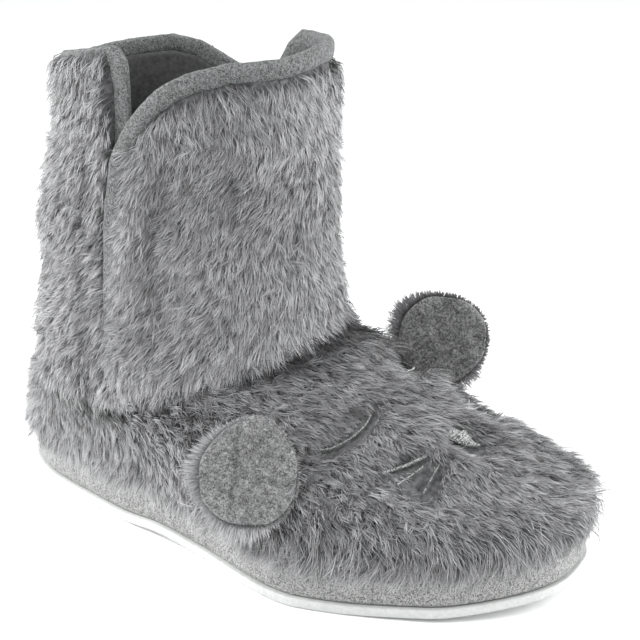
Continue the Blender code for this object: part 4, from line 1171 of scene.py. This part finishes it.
def stitches(name, starts, ends, out, radius, hump):
    """Capsules from start to end: six-sided rings whose middle is raised by the hump."""
    s = np.array([0.0, 0.04, 0.16, 0.36, 0.64, 0.84, 0.96, 1.0])
    girth = np.array([0.0, 0.5, 0.85, 1.0, 1.0, 0.85, 0.5, 0.0]) * radius
    way = unit(ends - starts)
    side = unit(np.cross(way, out))
    top = np.cross(side, way)
    angle = np.linspace(0, 2 * np.pi, 6, endpoint=False)
    line = (starts[:, None] + (ends - starts)[:, None] * s[:, None]
            + out[:, None] * (np.sin(np.pi * s) * hump)[:, None])
    ring = (side[:, None] * np.cos(angle)[:, None] - top[:, None] * np.sin(angle)[:, None])
    points = line[:, :, None] + ring[:, None] * girth[:, None, None]
    cells = grid_cells(len(s), 6, True)
    faces = (cells[None] + (np.arange(len(starts)) * len(s) * 6)[:, None, None]).reshape(-1, 4)
    add_piece(name, points, faces, [THREAD], ())


def on_pelt(plan, above):
    """Spots over plan points at a height above the pressed pelt, and their normals."""
    ground, normal = ground_at(*on_vamp(plan))[:2]
    sunk = pressed(ground + normal * PILE_MIDDLE)[1]
    return ground + normal * (UNDERFUR_TOP + above - sunk)[:, None], normal


def along_curve(plan):
    """Even points on a smooth curve through plan points, set down on the pressed vamp."""
    at = np.linspace(0, len(plan) - 1, 400)
    curve = smooth_table(np.asarray(plan, float), at)
    run = np.concatenate([[0], np.cumsum(np.linalg.norm(np.diff(curve, axis=0), axis=1))])
    even = np.linspace(0, run[-1], max(int(run[-1] / STITCH_STEP), 2))
    plan = np.stack([np.interp(even, run, curve[:, k]) for k in (0, 1)], -1)
    spots, normal = on_pelt(plan, LINE_LIFT)
    spots[:, :2] = plan + (spots[:, :2] - plan) * 0.15
    return spots, normal


# partly metallic; its near-black flecks are painted shade between the plies of the thread
THREAD = grained("silver_thread", (0.03, 0.03, 0.03), (0.53, 0.54, 0.53), 3000, 7.0, 0.42, 0.4,
                 metallic=0.30)


def sewn_line(name, plan, width, slant=0.6):
    """Slanted stitches across a curve, 0.6 mm apart."""
    spots, normal = along_curve(plan)
    way = unit(np.gradient(spots, axis=0))
    across = np.cross(normal, way)
    reach = (way * slant + across * (1 - slant * 0.5)) * width / 2
    stitches(name, spots - reach, spots + reach, normal, 0.00027, 0.0004)


for side, mark in ((0, "outer"), (1, "inner")):
    sewn_line(f"eye_{mark}", both_sides(EYE)[side], 0.0012)
    for number, whisker in enumerate(WHISKERS):
        sewn_line(f"whisker_{mark}_{number + 1}", both_sides(whisker)[side],
                  0.0019 if number == 0 else 0.0011)


# x and y of the nose patch's outer and inner edge in mm, and the shift that slants a thread
NOSE_EDGES = (((79.2, 81.9, 85.5, 89.8), (-12.0, -13.1, -11.9, -9.8), -0.7),
              ((79.2, 80.1, 82.8, 89.7), (-8.5, -6.1, -3.8, -7.6), 0.7))


def satin_nose():
    """Threads across the nose patch, from its outer edge to its inner edge."""
    x = np.linspace(79.2, 90.0, 26)
    (starts, normal), (ends, _) = [
        on_pelt(np.stack([x + shift, np.interp(x, places, edge)], -1) / 1000, NOSE_LIFT)
        for places, edge, shift in NOSE_EDGES]
    stitches("nose_satin", starts, ends, normal, 0.00030, 0.0011)


satin_nose()

# %% [markdown]
# ## Floor, light and camera
#
# Product photographs of soft goods use big soft lights from above and both sides on a white
# sweep. Here a pale floor, a bright even surround and three large area lights do that. The
# camera stands where the photograph was taken from, about half a metre away.

# %% Studio
def add_floor():
    """A wide pale plane that the sole stands on."""
    mesh = bpy.data.meshes.new("floor")
    mesh.from_pydata([(-3, -3, 0), (3, -3, 0), (3, 3, 0), (-3, 3, 0)], [], [(0, 1, 2, 3)])
    mesh.materials.append(new_material("studio_floor", {
        "Base Color": (0.93, 0.93, 0.93, 1), "Roughness": 0.9})[0])
    in_scene("floor", mesh)


def area_light(name, place, target, size, watts):
    """A square light that shines from its place towards the target."""
    light = bpy.data.lights.new(name, "AREA")
    light.size, light.energy = size, watts
    lamp = in_scene(name, light)
    lamp.location = place
    lamp.rotation_euler = facing(np.array(target) - np.array(place))


def facing(way):
    """Euler angles that turn -Z along a direction while X stays level."""
    x, y, z = way / np.linalg.norm(way)
    return (np.arccos(-z), 0.0, np.arctan2(-x, y))


add_floor()
area_light("key", (-0.35, -0.75, 1.15), (0, 0, 0.08), 0.7, 13)
area_light("left", (-1.15, -0.45, 0.45), (-0.05, 0, 0.08), 0.8, 18)
area_light("rim", (1.05, 0.70, 0.55), (0, 0, 0.1), 0.9, 24)
bpy.context.scene.view_settings.view_transform = "Standard"
world = bpy.data.worlds.new("surround")
bpy.context.scene.world = world
world.use_nodes = True
world.node_tree.nodes["Background"].inputs["Color"].default_value = (0.98, 0.99, 1.0, 1)
world.node_tree.nodes["Background"].inputs["Strength"].default_value = 0.95

camera_data = bpy.data.cameras.new("photo_view")
camera_data.lens, camera_data.sensor_width = 73.8, 36.0
camera_data.shift_x, camera_data.shift_y = 0.053, -0.011
camera = in_scene("photo_view", camera_data)
AZIMUTH, ELEVATION, DISTANCE = np.radians(31.3), np.radians(19.5), 0.537
back_way = np.array([np.sin(AZIMUTH) * np.cos(ELEVATION), -np.cos(AZIMUTH) * np.cos(ELEVATION),
                     np.sin(ELEVATION)])
camera.location = np.array([0, 0, 0.09]) + back_way * DISTANCE
camera.rotation_euler = facing(-back_way)
camera_data.clip_start = 0.01
bpy.context.scene.camera = camera

# %% [markdown]
# ## Counting triangles
#
# The triangles of every shown piece are counted, and the heaviest piece is named.

# %% Triangle count
weights = {piece.name: sum(len(face.vertices) - 2 for face in piece.data.polygons)
           for piece in bpy.context.scene.objects
           if piece.type == "MESH" and piece.data.users == 1 and not piece.hide_render}
print("triangles:", sum(weights.values()), "heaviest:", max(weights, key=weights.get))
